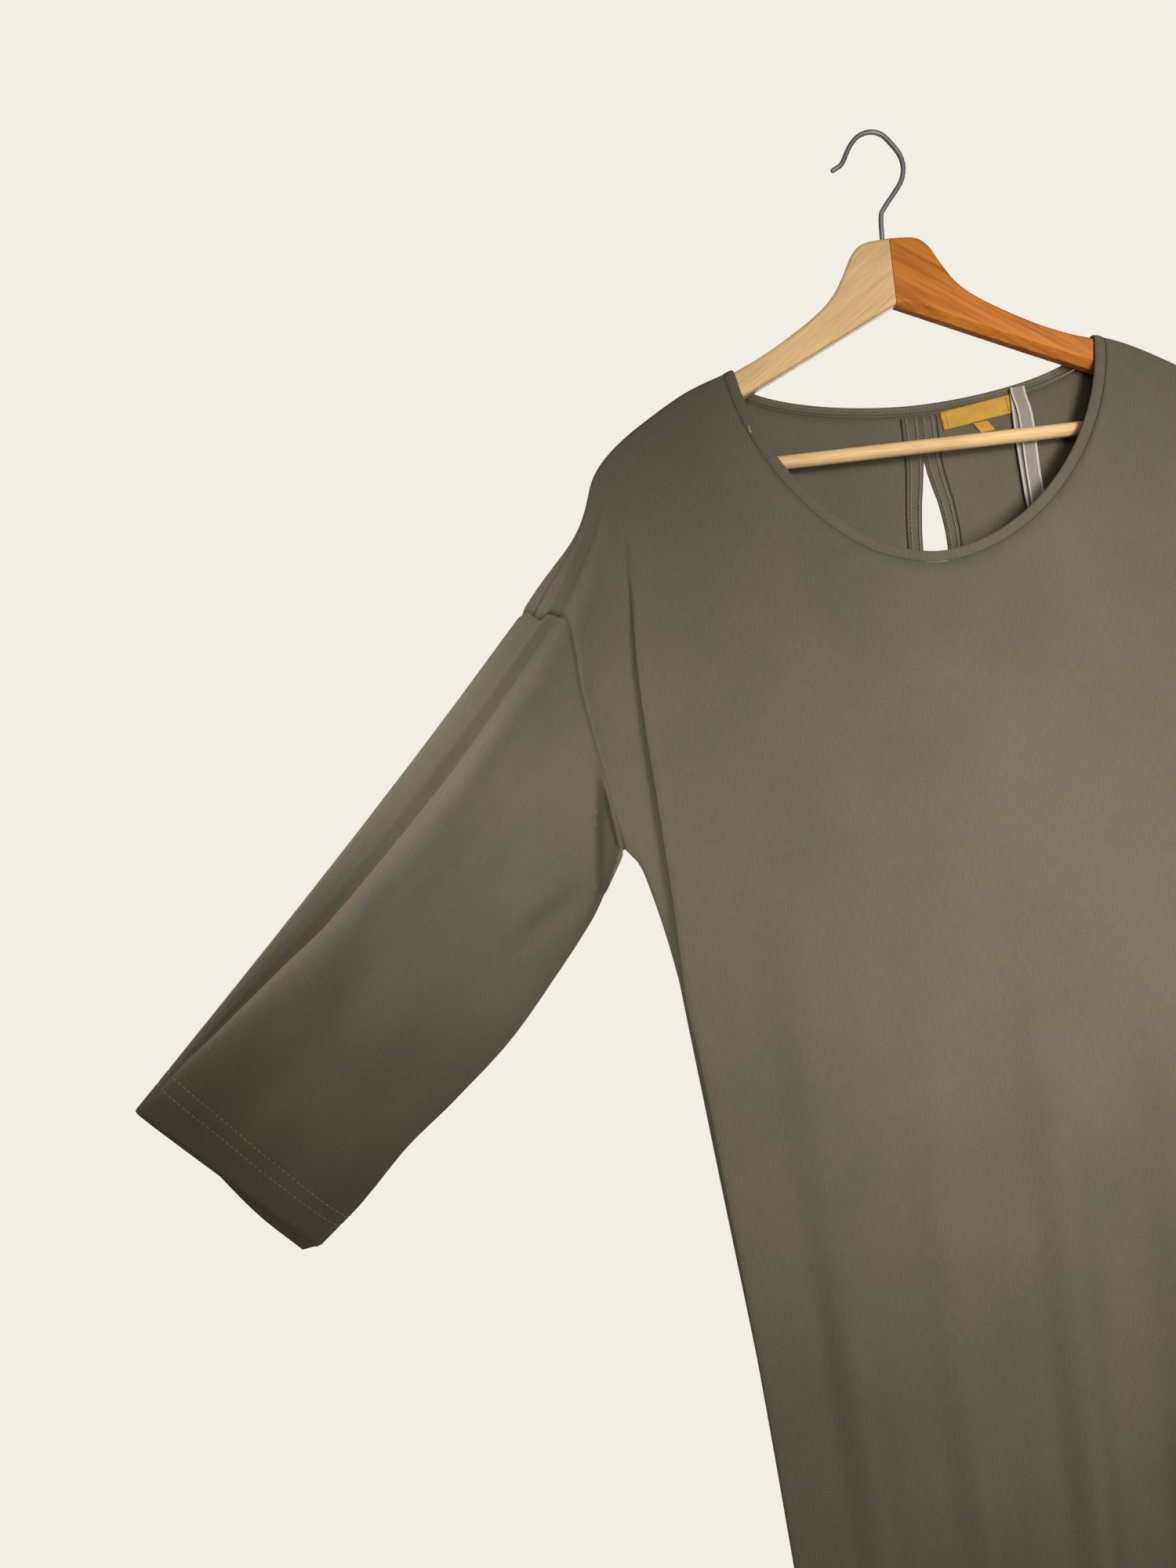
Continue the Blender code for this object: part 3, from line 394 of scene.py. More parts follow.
def panel_line(face, side, name, row):
    """Point of one of the lines that run down a panel."""
    if name == "side":
        return armhole_line(face, row)
    if name == "neck":
        corner = NECK[face]["corner_row"]
        if row <= corner:
            return neck_edge(face, side, row, NECK_CUT)
        start = neck_edge(face, side, corner, NECK_CUT)
        first_row = corner
    elif name == "middle":
        start = neck_point(face, side, 0.0, NECK_CUT)
        first_row = NECK[face]["corner_row"]
    else:
        top_out = RIDGE_OUT if name == "ridge" else VALLEY_OUT
        if row <= WRAP_ROW:
            return wrap_point(top_out, row)
        start = wrap_point(top_out, WRAP_ROW)
        first_row = WRAP_ROW
    z = low_z(row)
    if row < UNDERARM_ROW:
        z = mix(start[1], UNDERARM_Z, (row - first_row) / (UNDERARM_ROW - first_row))
    out, depth = along(LINES[face][name], z)
    settle = ease((row - first_row) / SETTLE_ROWS)
    out = mix(start[0], out + side * middle_shift(face, z) * (name in ("neck", "middle")), settle)
    return out, z, mix(start[2], depth, settle)


def across(low, high, share, kind):
    """Point between two lines of the same row."""
    if kind == "valley":
        out_share, depth_share = along(PLEAT_EDGE, share)
        return mix(low[0], high[0], out_share), mix(low[1], high[1], share), mix(low[2], high[2], depth_share)
    if kind == "side":
        turn = share * math.pi / 2.0
        return (mix(low[0], high[0], math.sin(turn)), mix(low[1], high[1], share),
                mix(low[2], high[2], share ** 1.4))
    return mix(low[0], high[0], share), mix(low[1], high[1], share), mix(low[2], high[2], ease(share))


def top_point(face, side, names, share, row):
    """Rows at the top edge, which follow the shoulder or the neck."""
    if names[0] == "middle":
        turn = NECK[face]["corner_turn"] * share
        return neck_point(face, side, turn, NECK_CUT)
    ends = {"neck": neck_edge(face, side, row, NECK_CUT)[0], "ridge": RIDGE_OUT,
            "valley": VALLEY_OUT, "side": ARMHOLE_OUT}
    out = mix(ends[names[0]], ends[names[1]], share)
    plain = wrap_point(out, row)
    if names[1] != "side":
        return plain
    weight = ease((out - VALLEY_OUT) / (ARMHOLE_OUT - VALLEY_OUT))
    edge, edge_top = armhole_line(face, row), armhole_line(face, 0)
    turned = (out + edge[0] - edge_top[0], shoulder_z(out) + edge[1] - edge_top[1], edge[2])
    return tuple(mix(plain[axis], turned[axis], weight) for axis in range(3))


def fold_depth(face, x, z):
    """How far the soft folds stand out at this place."""
    total = 0.0
    for high_x, low_x, half, height, start in FOLDS[face]:
        share = (z - UNDERARM_Z) / (HEM_Z - UNDERARM_Z)
        middle = mix(high_x, low_x, share)
        grown = ease((start - z) / (start - HEM_Z)) * height
        distance = abs(x - middle) / (half * mix(1.15, 0.85, share))
        if distance < 1.0:
            total += grown * (0.5 + 0.5 * math.cos(math.pi * distance))
    return total - FOLD_SINK * ease((FOLD_SINK_FROM_Z - z) / FOLD_SINK_OVER)


def panel_point(face, side, names, share, row):
    """Outer point of a panel, in the part's own axes."""
    first_row = NECK[face]["corner_row"] if names[0] == "middle" else WRAP_ROW
    if row <= first_row:
        place = top_point(face, side, names, share, row)
    else:
        low = panel_line(face, side, names[0], row)
        high = panel_line(face, side, names[1], row)
        plain = across(low, high, share, names[1])
        low = panel_line(face, side, names[0], first_row)
        high = panel_line(face, side, names[1], first_row)
        start = across(low, high, share, names[1])
        top = top_point(face, side, names, share, first_row)
        fade = 1.0 - ease((row - first_row) / FADE_ROWS)
        place = tuple(plain[axis] + fade * (top[axis] - start[axis]) for axis in range(3))
    out, z, depth = place
    x = side * out
    edge = along(SIDE, min(z, UNDERARM_Z))[0]
    depth += ease((edge - FOLD_MARGIN - out) / FOLD_RUN_OUT) * fold_depth(face, x, z)
    if face == "front" and names[0] == "valley":
        depth -= along(FOLD_PUSH, row)[0] * ease(share / 0.6)
    return Vector((x, OUTWARD[face] * depth, z))


def open_slit(point, side, row, share):
    """Move a back point away from the middle, beside the slit."""
    if row > SLIT_ROW:
        return point
    half = along(SLIT_HALF, row)[0]
    weight = max(0.0, 1.0 - share * 1.6) * (1.25 if side == RIGHT else 0.75)
    return Vector((point.x + side * half * weight, point.y, point.z))


# Density of the grids
COLUMN_PARTS = 4
ROW_GAP = 6.0
RING_GAP = 5.0
LAST_COLUMN = 19
CORNER_COLUMN = 6

# Slow waves of the sleeves, which run along them
SLEEVE_WAVES = 0.8
SLEEVE_SLANT = 0.7

# Seams and hems
SEAM_SINK = 1.1
SEAM_SOFT = 2.2
CUFF_ROWS = (23.0, 34.0)
HEM_ROWS = (20.0, 27.0)
HEM_SOFT = 1.1
HEM_SINK = 0.45
BESIDE_STITCHES = (-2.2, -1.1, 0.0, 1.1, 2.2)  # rows of the grid beside a row of stitches
THREAD = 0.33  # half the thickness of a thread
HEM_STITCH = (4.2, 2.8)  # pitch and length
TACK_SIZE = 1.9  # in threads
TACK = ((-110.0, -197.2), (-110.6, -191.2))  # x and z of its ends


def on_both_sides(rows):
    """Creases of the left side, with the same ones mirrored on the right."""
    return rows + [(-x0, z0, -x1, z1, -bow, half, height) for x0, z0, x1, z1, bow, half, height in rows]


# Creases, given in the plane of the hanger. A positive height stands out of the cloth.
CREASES = {
    "front": on_both_sides([  # x and z of both ends, bow to the side, half-width, height
        (-203, -228, -187, -420, 0, 1.6, 0.8), (-207, -222, -192, -330, 1.5, 3.2, -1.6),
        (-192, -330, -182, -470, 1, 5, -1.5), (-182, -470, -176, -640, 0, 8, -1.8),
    ]) + [
        (-160, -260, -150, -520, -4, 18, 1.6), (-95, -330, -120, -700, 5, 16, 1.8),
        (-60, -345, -66, -640, -3, 13, -1.6), (-12, -330, -6, -660, 3, 17, 1.4),
        (30, -340, 48, -720, -4, 15, -1.8), (70, -320, 84, -560, 3, 14, 1.6),
        (110, -300, 136, -640, -3, 16, -1.5), (160, -300, 158, -600, 3, 13, 1.7),
        (-100, -640, -84, -1080, 3, 15, 2.4), (-40, -700, -58, -1090, -3, 14, -2.4),
        (14, -690, 2, -1085, 3, 16, 2.2), (66, -640, 62, -1090, -4, 15, -2.6),
        (118, -660, 124, -1080, 4, 13, 2.2), (-132, -720, -140, -1085, 2, 10, -2),
    ],
    "back": [
        (-150, -250, -140, -560, 4, 17, 1.8), (-84, -240, -100, -640, -4, 15, -1.8),
        (-36, -330, -30, -700, 3, 16, 1.6), (40, -330, 26, -690, -3, 15, -1.8),
        (92, -250, 110, -620, 4, 16, 1.8), (150, -260, 150, -540, -3, 15, -1.6),
        (-110, -620, -104, -1085, 3, 14, 2.4), (-56, -680, -70, -1080, -3, 14, -2.4),
        (0, -700, 10, -1090, 3, 15, 2.3), (56, -650, 48, -1085, -3, 14, -2.5),
        (112, -640, 118, -1080, 3, 12, 2.2),
    ] + on_both_sides([(-204.0, -235.0, -192.0, -420.0, 1.5, 4.0, -1.2)]),
    "sleeve_front": [
        (-250, -492, -322, -538, 5, 6, -1.7), (-252, -476, -312, -520, 5, 8, 1.5),
        (-300, -350, -390, -520, 8, 20, 1.6), (-285, -420, -330, -500, -5, 13, -1.6),
        (-400, -470, -470, -590, 6, 20, 1.4), (-360, -560, -430, -640, -5, 17, -1.3),
        (-455, -600, -520, -668, 4, 14, 1), (-506, -636, -462, -684, -2, 2.2, -1),
    ],
    "sleeve_back": [
        (-270, -440, -350, -540, -6, 12, -2.2), (-290, -380, -400, -520, 8, 18, 1.8),
        (-380, -560, -450, -640, 5, 16, -1.5), (-420, -500, -500, -610, 6, 18, 1.4),
    ],
}

# Colours as linear red, green and blue
CLOTH = (0.134, 0.118, 0.083)
CLOTH_SHADE = (0.104, 0.092, 0.064)
MUSTARD = (0.56, 0.30, 0.022)
THREADS = {
    "sewing_thread": (0.34, 0.32, 0.24),
    "seam_thread": (0.25, 0.235, 0.175),
    # The near-black thread below is painted shade: it is laid along the facings' outer edges and at the neck
    # band's seam to stand for the shadow there.
    "painted_shadow_thread": (0.050, 0.042, 0.030),
    "soft_thread": (0.125, 0.110, 0.078),
    "label_thread": tuple(0.8 * part for part in MUSTARD),
}
SATIN = (0.25, 0.22, 0.19)
SATIN_EDGE = (0.56, 0.52, 0.46)
MAPLE = (0.84, 0.585, 0.29)
MAPLE_DARK = (0.70, 0.46, 0.21)
CHERRY = (0.64, 0.225, 0.030)
CHERRY_DARK = (0.36, 0.10, 0.014)
STEEL = (0.36, 0.36, 0.37)
CREAM = (0.880, 0.855, 0.791)

# Camera of the photograph
CAMERA_PLACE = (-0.2461, -0.806, -0.4198)
CAMERA_TURN = math.radians(6.6)
CAMERA_LENS = 27.0
CAMERA_SENSOR = 36.0


def column_at(column):
    """Lines on both sides of a column, and the share of the way between them."""
    first = 0
    for names, steps in STEPS:
        if column <= first + len(steps) - 1:
            index = min(int(column - first), len(steps) - 2)
            return names, mix(steps[index], steps[index + 1], column - first - index)
        first += len(steps) - 1
    return STEPS[-1][0], 1.0


NECK_LINE = {}


def neck_line(face, side, row):
    """The line below the neck, and how far the chest columns beside it lie off it."""
    key = (face, side, row)
    if key not in NECK_LINE:
        out, z, depth = panel_line(face, side, "neck", row)
        x = side * out
        point = Vector((x, OUTWARD[face] * (depth + fold_depth(face, x, z)), z))
        NECK_LINE[key] = (point, point - panel_point(face, side, ("neck", "ridge"), 0.0, row))
    return NECK_LINE[key]


def body_point(face, side, column, row):
    """Outer point of a panel at any column and row."""
    names, share = column_at(column)
    if column == CORNER_COLUMN:
        point = neck_line(face, side, row)[0]
    else:
        point = panel_point(face, side, names, share, row)
        if names[0] == "neck":
            point = point + neck_line(face, side, row)[1] * (1.0 - ease(column - CORNER_COLUMN))
    if face == "back" and column < CORNER_COLUMN:
        point = open_slit(point, side, row, share)
    return point


def spread(stops, gap, lengths):
    """Places from one stop to the next, no further apart than the gap."""
    places = [stops[0]]
    for index in range(len(stops) - 1):
        parts = max(1, math.ceil(lengths[index] / gap))
        places += [mix(stops[index], stops[index + 1], part / parts) for part in range(1, parts + 1)]
    return places


def row_places():
    """Rows of the fine grid: close together where the cloth turns, and at the hem's stitching."""
    stops = [float(row) for row in range(HEM_ROW + 1)]
    lengths = [4.0 * ROW_GAP] * (WRAP_ROW + 2)
    lengths += [3.0 * ROW_GAP] * (UNDERARM_ROW - WRAP_ROW - 2)
    lengths += [low_z(row) - low_z(row + 1) for row in range(UNDERARM_ROW, HEM_ROW)]
    places = spread(stops, ROW_GAP, lengths)
    last = low_z(HEM_ROW - 1) - HEM_Z
    for height in HEM_ROWS:
        places += [HEM_ROW - (height + step) / last for step in BESIDE_STITCHES]
    return sorted(set(places))


def ring_places():
    """Rings of a sleeve, as shares of its length, close together at the seam and the stitching."""
    count = round(SLEEVE_LENGTH / RING_GAP)
    places = [number / count for number in range(count + 1)]
    places += [(number + 0.5) / count for number in range(round(0.3 * count))]
    places += [distance / SLEEVE_LENGTH for distance in (0.8, 1.8, 3.2)]
    for height in CUFF_ROWS:
        places += [1.0 - (height + step) / SLEEVE_LENGTH for step in BESIDE_STITCHES]
    return sorted(set(places))


# The fine grid: columns from the middle to the side, rows from the shoulder to the hem, and rings
# of the sleeves. The numbers are places in these lists.
COLUMNS = [step / COLUMN_PARTS for step in range(LAST_COLUMN * COLUMN_PARTS + 1)]
ROWS = row_places()
RINGS = ring_places()
CORNER = COLUMNS.index(CORNER_COLUMN)
LAST = len(COLUMNS) - 1
UNDERARM = ROWS.index(UNDERARM_ROW)
CORNER_ROW = {face: ROWS.index(NECK[face]["corner_row"]) for face in NECK}
CELL = ((0, 0), (1, 0), (1, 1), (0, 1))


class Sheet:
    """A cloth surface: points, quads that face outwards, places of named points, cloth coordinates."""

    def __init__(self, name):
        self.name = name
        self.points = []
        self.quads = []
        self.places = {}
        self.weave = []

    def add(self, key, point, weave):
        """Add a point once under its key."""
        if key not in self.places:
            self.places[key] = len(self.points)
            self.points.append(point)
            self.weave.append(weave)
        return self.places[key]

    def at(self, key):
        """Point under a key."""
        return self.points[self.places[key]]

    def quad(self, keys, flip):
        """Add a quad from the keys of its corners."""
        corners = [self.places[key] for key in keys]
        self.quads.append(corners[::-1] if flip else corners)

    def grid(self, columns, rows, flip):
        """Add a quad for each cell of a grid whose keys are (column, row)."""
        for i in columns:
            for j in rows:
                self.quad([(i + a, j + b) for a, b in CELL], flip)

    def normals(self):
        """Outward direction at each point."""
        total = [Vector() for _ in self.points]
        for quad in self.quads:
            first, second, third, fourth = (self.points[index] for index in quad)
            area = (third - first).cross(fourth - second)
            for index in quad:
                total[index] += area
        return [direction.normalized() for direction in total]


def make_panel(face):
    """Fine grid of the front or the back. Keys are (side, column, row), both as numbers in the lists."""
    sheet = Sheet(face)
    slit_row = ROWS.index(SLIT_ROW)
    for side in SIDES:
        for i, column in enumerate(COLUMNS):
            for j in range(CORNER_ROW[face] if i < CORNER else 0, len(ROWS)):
                split = face == "back" and j < slit_row
                key = (0, 0, j) if i == 0 and not split else (side, i, j)
                if key not in sheet.places:
                    point = body_point(face, side, column, ROWS[j])
                    sheet.add(key, point, (point.x, point.z))
    for side in SIDES:
        for i in range(LAST):
            for j in range(CORNER_ROW[face] if i < CORNER else 0, len(ROWS) - 1):
                keys = [grid_key(sheet, side, i + a, j + b) for a, b in CELL]
                sheet.quad(keys, (side == RIGHT) == (face == "front"))
    return sheet


def grid_key(sheet, side, i, j):
    """Key of a grid point, which both halves share in the middle."""
    key = (side, i, j)
    return key if key in sheet.places else (0, i, j)


def armhole_ring(front, back, side):
    """Steps round the armhole, with the points there: down the front, then up the back."""
    ring = [(ROWS[j], (side, LAST, j), front) for j in range(UNDERARM + 1)]
    return ring + [(2.0 * UNDERARM_ROW - ROWS[j], (side, LAST, j), back) for j in range(UNDERARM - 1, 0, -1)]


def sleeve_point(side, start, step, share):
    """Point on a sleeve's line from the armhole to the cuff."""
    width_share, depth = along(CUFF_SECTION, step)
    cuff_out = mix(CUFF_TOP[0], CUFF_BOTTOM[0], width_share)
    cuff_z = mix(CUFF_TOP[1], CUFF_BOTTOM[1], width_share)
    cuff = Vector((side * cuff_out, depth, cuff_z))
    point = start.lerp(cuff, share)
    down = Vector((-side * SLEEVE_DOWN[0], 0.0, SLEEVE_DOWN[1]))
    low = ease((width_share - 0.35) / 0.65)
    point += down * (along(SLEEVE_BELLY, share)[0] * low)
    high = 1.0 - ease(width_share / 0.5)
    bow = math.sin(math.pi * share)
    point += down * (SLEEVE_BOW * bow * high)
    flat = math.sin(math.pi * width_share)
    point.y += math.copysign(SLEEVE_PUFF, depth) * bow * flat
    point.y *= 1.0 - CUFF_FLATTER * share ** 5
    if step < UNDERARM_ROW:
        reach = min(step / FOLD_STEP, 1.0) * (1.0 - ease((step - FOLD_STEP) / 5.0))
        plain = mix(FOLD_PLACE[0][1], FOLD_PLACE[-1][1], share)
        point += down * (along(FOLD_PLACE, share)[0] - plain) * reach
        point.y += along(FOLD_PUSH, step)[0] * (along(FOLD_STRENGTH, share)[0] - (1.0 - share))
        point.y += underarm_fold(abs(point.x), point.z) * ease(share / 0.028)
    elif step > UNDERARM_ROW:
        drop = CUFF_DROP * ease((width_share - 0.2) / 0.6) * (1.0 - ease((width_share - 0.96) / 0.04))
        point += Vector((side * CUFF_RUN[0], 0.0, CUFF_RUN[1])) * drop * share ** 8
    return point


def underarm_fold(out, z):
    """Inwards beyond the vertical fold, and a little outwards before it."""
    edge = along(UNDERARM_FOLD, z)[0]
    grown = ease((UNDERARM_FROM_Z - z) / UNDERARM_GROWTH)
    beyond = ease((edge - out) / UNDERARM_EDGE + 0.5)
    before = math.exp(-(max(0.0, out - edge) / UNDERARM_SPREAD) ** 2) * (1.0 - beyond)
    return grown * (UNDERARM_PUSH * beyond - UNDERARM_LIFT * before)


def make_sleeve(side, ring):
    """Fine tube of one sleeve. Keys are (ring, step)."""
    sheet = Sheet("sleeve_left" if side == LEFT else "sleeve_right")
    count = len(ring)
    for number, share in enumerate(RINGS):
        run = 0.0
        for index, (step, key, panel) in enumerate(ring):
            point = sleeve_point(side, panel.at(key), step, share)
            if index:
                run += (point - sheet.points[-1]).length
            sheet.add((number, index), point, (run, share * SLEEVE_LENGTH))
    for number in range(len(RINGS) - 1):
        for index in range(count):
            sheet.quad([(number + b, (index + a) % count) for a, b in CELL], side == LEFT)
    return sheet


def crease_height(rows, x, z):
    """Sum of the creases at a place."""
    total = 0.0
    for x0, z0, x1, z1, bow, half, height in rows:
        run = Vector((x1 - x0, z1 - z0))
        length = run.length
        away = Vector((x - x0, z - z0))
        share = away.dot(run) / (length * length)
        if not 0.0 < share < 1.0:
            continue
        offset = (away.x * run.y - away.y * run.x) / length - bow * 4.0 * share * (1.0 - share)
        if abs(offset) < 3.0 * half:
            taper = ease(min(share, 1.0 - share) / 0.38)
            total += height * taper * math.exp(-(offset / half) ** 2)
    return total


def unevenness(x, z):
    """Slow, shallow waves that no hung cloth is without."""
    return (0.50 * math.sin(x / 21.0 + 0.8 * math.sin(z / 140.0))
            + 0.35 * math.sin(x / 34.0 - z / 160.0 + 1.3)
            + 0.30 * math.sin(x / 13.0 + z / 260.0 + 0.6))


def seam_dip(distance):
    """How far the cloth turns in beside a seam."""
    return SEAM_SINK * math.exp(-(distance / SEAM_SOFT) ** 2)


def stitch_dip(distance):
    """How far a row of stitches pulls the cloth in."""
    return HEM_SINK * math.exp(-(distance / HEM_SOFT) ** 2)


def dress_panel(sheet, normals):
    """Creases, seams and hem of a panel."""
    face = sheet.name
    moved = []
    for key, index in sheet.places.items():
        side, i, j = key
        point = sheet.points[index]
        row = ROWS[j]
        inside = ease((LAST_COLUMN - COLUMNS[i]) / 3.0)
        beside = ease((COLUMNS[i] - CORNER_COLUMN) / 1.5) if side else 0.0
        below_neck = max(beside, ease((row - NECK[face]["corner_row"]) / 2.0))
        height = crease_height(CREASES[face], point.x, point.z) + unevenness(point.x, point.z) * inside
        height *= ease((row - 2.0) / 4.0) * below_neck
        if side:
            height -= seam_dip((point - sheet.at((side, LAST, j))).length)
        if side and i >= CORNER:
            depth = 1.7 if COLUMNS[i] > 12.0 else 0.8
            height -= seam_dip((point - sheet.at((side, i, 0))).length) * depth
        height -= sum(stitch_dip(point.z - HEM_Z - hem) for hem in HEM_ROWS)
        moved.append(point + normals[index] * height)
    sheet.points = moved


def dress_sleeve(sheet, ring, normals):
    """Creases, seam and cuff stitching of a sleeve."""
    moved = []
    for key, index in sheet.places.items():
        number, place = key
        point = sheet.points[index]
        share = RINGS[number]
        step = ring[place][0]
        layer = "sleeve_front" if step < UNDERARM_ROW else "sleeve_back"
        from_turn = 25.0 - step if step > UNDERARM_ROW else abs(step - FOLD_STEP)
        flat = ease(min(from_turn, abs(step - UNDERARM_ROW)) / 2.0)
        away = ease(share / 0.08) * ease((1.0 - share) / 0.05)
        x = -abs(point.x)
        height = crease_height(CREASES[layer], x, point.z)
        height += SLEEVE_WAVES * unevenness((x - point.z) * SLEEVE_SLANT, point.z)
        height *= away * flat
        height -= seam_dip((point - sheet.at((0, place))).length)
        height -= sum(stitch_dip((1.0 - share) * SLEEVE_LENGTH - cuff) for cuff in CUFF_ROWS)
        moved.append(point + normals[index] * height)
    sheet.points = moved


def share_normals(groups, normals):
    """Give the points that meet at a seam one direction."""
    for group in groups:
        total = Vector()
        for sheet, key in group:
            total += normals[sheet.name][sheet.places[key]]
        total.normalize()
        for sheet, key in group:
            normals[sheet.name][sheet.places[key]] = total


def seam_groups(front, back, sleeves, rings):
    """Points of the sheets that meet at each seam."""
    groups = []
    for side in SIDES:
        keys = [(side, LAST, j) for j in range(UNDERARM + 1, len(ROWS))]
        keys += [(side, i, 0) for i in range(CORNER, LAST)]
        groups += [[(front, key), (back, key)] for key in keys]
        for place, (step, key, sheet) in enumerate(rings[side]):
            bodies = [(front, key), (back, key)] if step in (0, UNDERARM_ROW) else [(sheet, key)]
            groups.append(bodies + [(sleeves[side], (0, place))])
    return groups


def make_object(name, points, faces, material):
    """Make one object from points in millimetres, riding on the one body."""
    mesh = bpy.data.meshes.new(name)
    mesh.from_pydata([tuple(Vector(point) * MM) for point in points], [], faces)
    mesh.update()
    mesh.shade_smooth()
    mesh.set_sharp_from_angle(angle=SHARP_ANGLE)
    mesh.materials.append(material)
    thing = bpy.data.objects.new(name, mesh)
    bpy.context.collection.objects.link(thing)
    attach(thing, "root")
    return thing


def weave_layer(thing, weave):
    """Store the material's own coordinates, in millimetres."""
    layer = thing.data.attributes.new("weave", "FLOAT_VECTOR", "POINT")
    for index, place in enumerate(weave):
        layer.data[index].vector = (*place, 0.0)[:3]


def cloth_object(sheet, wall, material, offset=-1.0):
    """Thin shell on a sheet, in the place of the solid of the same name."""
    thing = make_object(sheet.name + "_cloth", sheet.points, sheet.quads, material)
    weave_layer(thing, sheet.weave)
    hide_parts(sheet.name)
    shell = thing.modifiers.new("shell", "SOLIDIFY")
    shell.thickness = wall * MM
    shell.offset = offset
    return thing


def new_material(name, roughness, metallic=0.0):
    """Material with a Principled shader, its nodes, its links and the shader."""
    material = bpy.data.materials.new(name)
    material.use_nodes = True
    tree = material.node_tree
    shader = tree.nodes["Principled BSDF"]
    shader.inputs["Roughness"].default_value = roughness
    shader.inputs["Metallic"].default_value = metallic
    return material, tree, shader


def add_node(tree, kind, **inputs):
    """Add a node and set its inputs by name; underscores stand for spaces."""
    node = tree.nodes.new(kind)
    for name, value in inputs.items():
        node.inputs[name.replace("_", " ")].default_value = value
    return node


def scaled(tree, source, scale):
    """A vector socket scaled along its axes."""
    mapping = add_node(tree, "ShaderNodeMapping", Scale=scale)
    tree.links.new(source, mapping.inputs["Vector"])
    return mapping.outputs["Vector"]


def noise(tree, source, scale, detail, size=1.0):
    """Noise read at a scaled vector, as a socket from 0 to 1."""
    texture = add_node(tree, "ShaderNodeTexNoise", Scale=size, Detail=detail)
    tree.links.new(scaled(tree, source, scale), texture.inputs["Vector"])
    return texture.outputs["Fac"]


def ramp(tree, source, low, high, start, end):
    """Colour from low to high between two values of the source."""
    node = tree.nodes.new("ShaderNodeValToRGB")
    node.color_ramp.elements[0].position = start
    node.color_ramp.elements[0].color = (*low, 1.0)
    node.color_ramp.elements[1].position = end
    node.color_ramp.elements[1].color = (*high, 1.0)
    tree.links.new(source, node.inputs["Fac"])
    return node.outputs["Color"]


def paint(tree, shader, *colours):
    """Use the product of some colour sockets as the base colour."""
    total = colours[0]
    for colour in colours[1:]:
        node = tree.nodes.new("ShaderNodeMix")
        node.data_type = "RGBA"
        node.blend_type = "MULTIPLY"
        node.inputs["Factor"].default_value = 1.0
        tree.links.new(total, node.inputs["A"])
        tree.links.new(colour, node.inputs["B"])
        total = node.outputs["Result"]
    tree.links.new(total, shader.inputs["Base Color"])


def maths(tree, operation, *values):
    """Result of a maths node whose inputs are sockets or numbers."""
    node = tree.nodes.new("ShaderNodeMath")
    node.operation = operation
    for value, place in zip(values, node.inputs):
        if isinstance(value, float):
            place.default_value = value
        else:
            tree.links.new(value, place)
    return node.outputs["Value"]


def bump(tree, shader, height, strength, distance):
    """Drive the shader's normal by a height."""
    node = add_node(tree, "ShaderNodeBump", Strength=strength, Distance=distance * MM)
    tree.links.new(height, node.inputs["Height"])
    tree.links.new(node.outputs["Normal"], shader.inputs["Normal"])


def cloth_coordinates(tree):
    """The cloth's own coordinates in millimetres."""
    node = tree.nodes.new("ShaderNodeAttribute")
    node.attribute_name = "weave"
    return node.outputs["Vector"]


def jersey_material():
    """Matt fine jersey: melange grain, faint wales, and a soft nap."""
    material, tree, shader = new_material("jersey_cloth", 0.86)
    cloth = cloth_coordinates(tree)
    grain = noise(tree, cloth, (1.5, 0.9, 1.0), 3.0)
    wales = noise(tree, cloth, (0.75, 0.10, 1.0), 2.0)
    patches = noise(tree, cloth, (0.012, 0.009, 1.0), 2.0)
    fine = ramp(tree, grain, CLOTH_SHADE, CLOTH, 0.35, 0.68)
    broad = ramp(tree, patches, (0.90, 0.91, 0.88), (1.05, 1.04, 1.06), 0.3, 0.7)
    lines = ramp(tree, wales, (0.94, 0.94, 0.94), (1.05, 1.05, 1.05), 0.35, 0.65)
    paint(tree, shader, fine, broad, lines)
    shader.inputs["Specular IOR Level"].default_value = 0.22
    shader.inputs["Sheen Weight"].default_value = 0.16
    shader.inputs["Sheen Roughness"].default_value = 0.45
    shader.inputs["Sheen Tint"].default_value = (0.62, 0.60, 0.40, 1.0)
    bump(tree, shader, maths(tree, "MULTIPLY_ADD", wales, 0.7, grain), 0.35, 0.22)
    return material


def tinted(colour, share):
    """A colour made darker."""
    return tuple(share * part for part in colour)


def speckled_material(name, colour, shade, roughness, scale, detail, stops, metallic=0.0):
    """Material that varies from a shade to its colour, with its nodes, its shader and the variation."""
    material, tree, shader = new_material(name, roughness, metallic)
    place = add_node(tree, "ShaderNodeNewGeometry").outputs["Position"]
    specks = noise(tree, place, (scale, scale, scale), detail)
    paint(tree, shader, ramp(tree, specks, tinted(colour, shade), colour, *stops))
    return material, tree, shader, specks


def thread_material(name, colour):
    """Sewing thread with a twist."""
    material, tree, shader, twist = speckled_material(name, colour, 0.7, 0.6, 1400.0, 2.0, (0.35, 0.6))
    bump(tree, shader, twist, 0.3, 0.08)
    return material


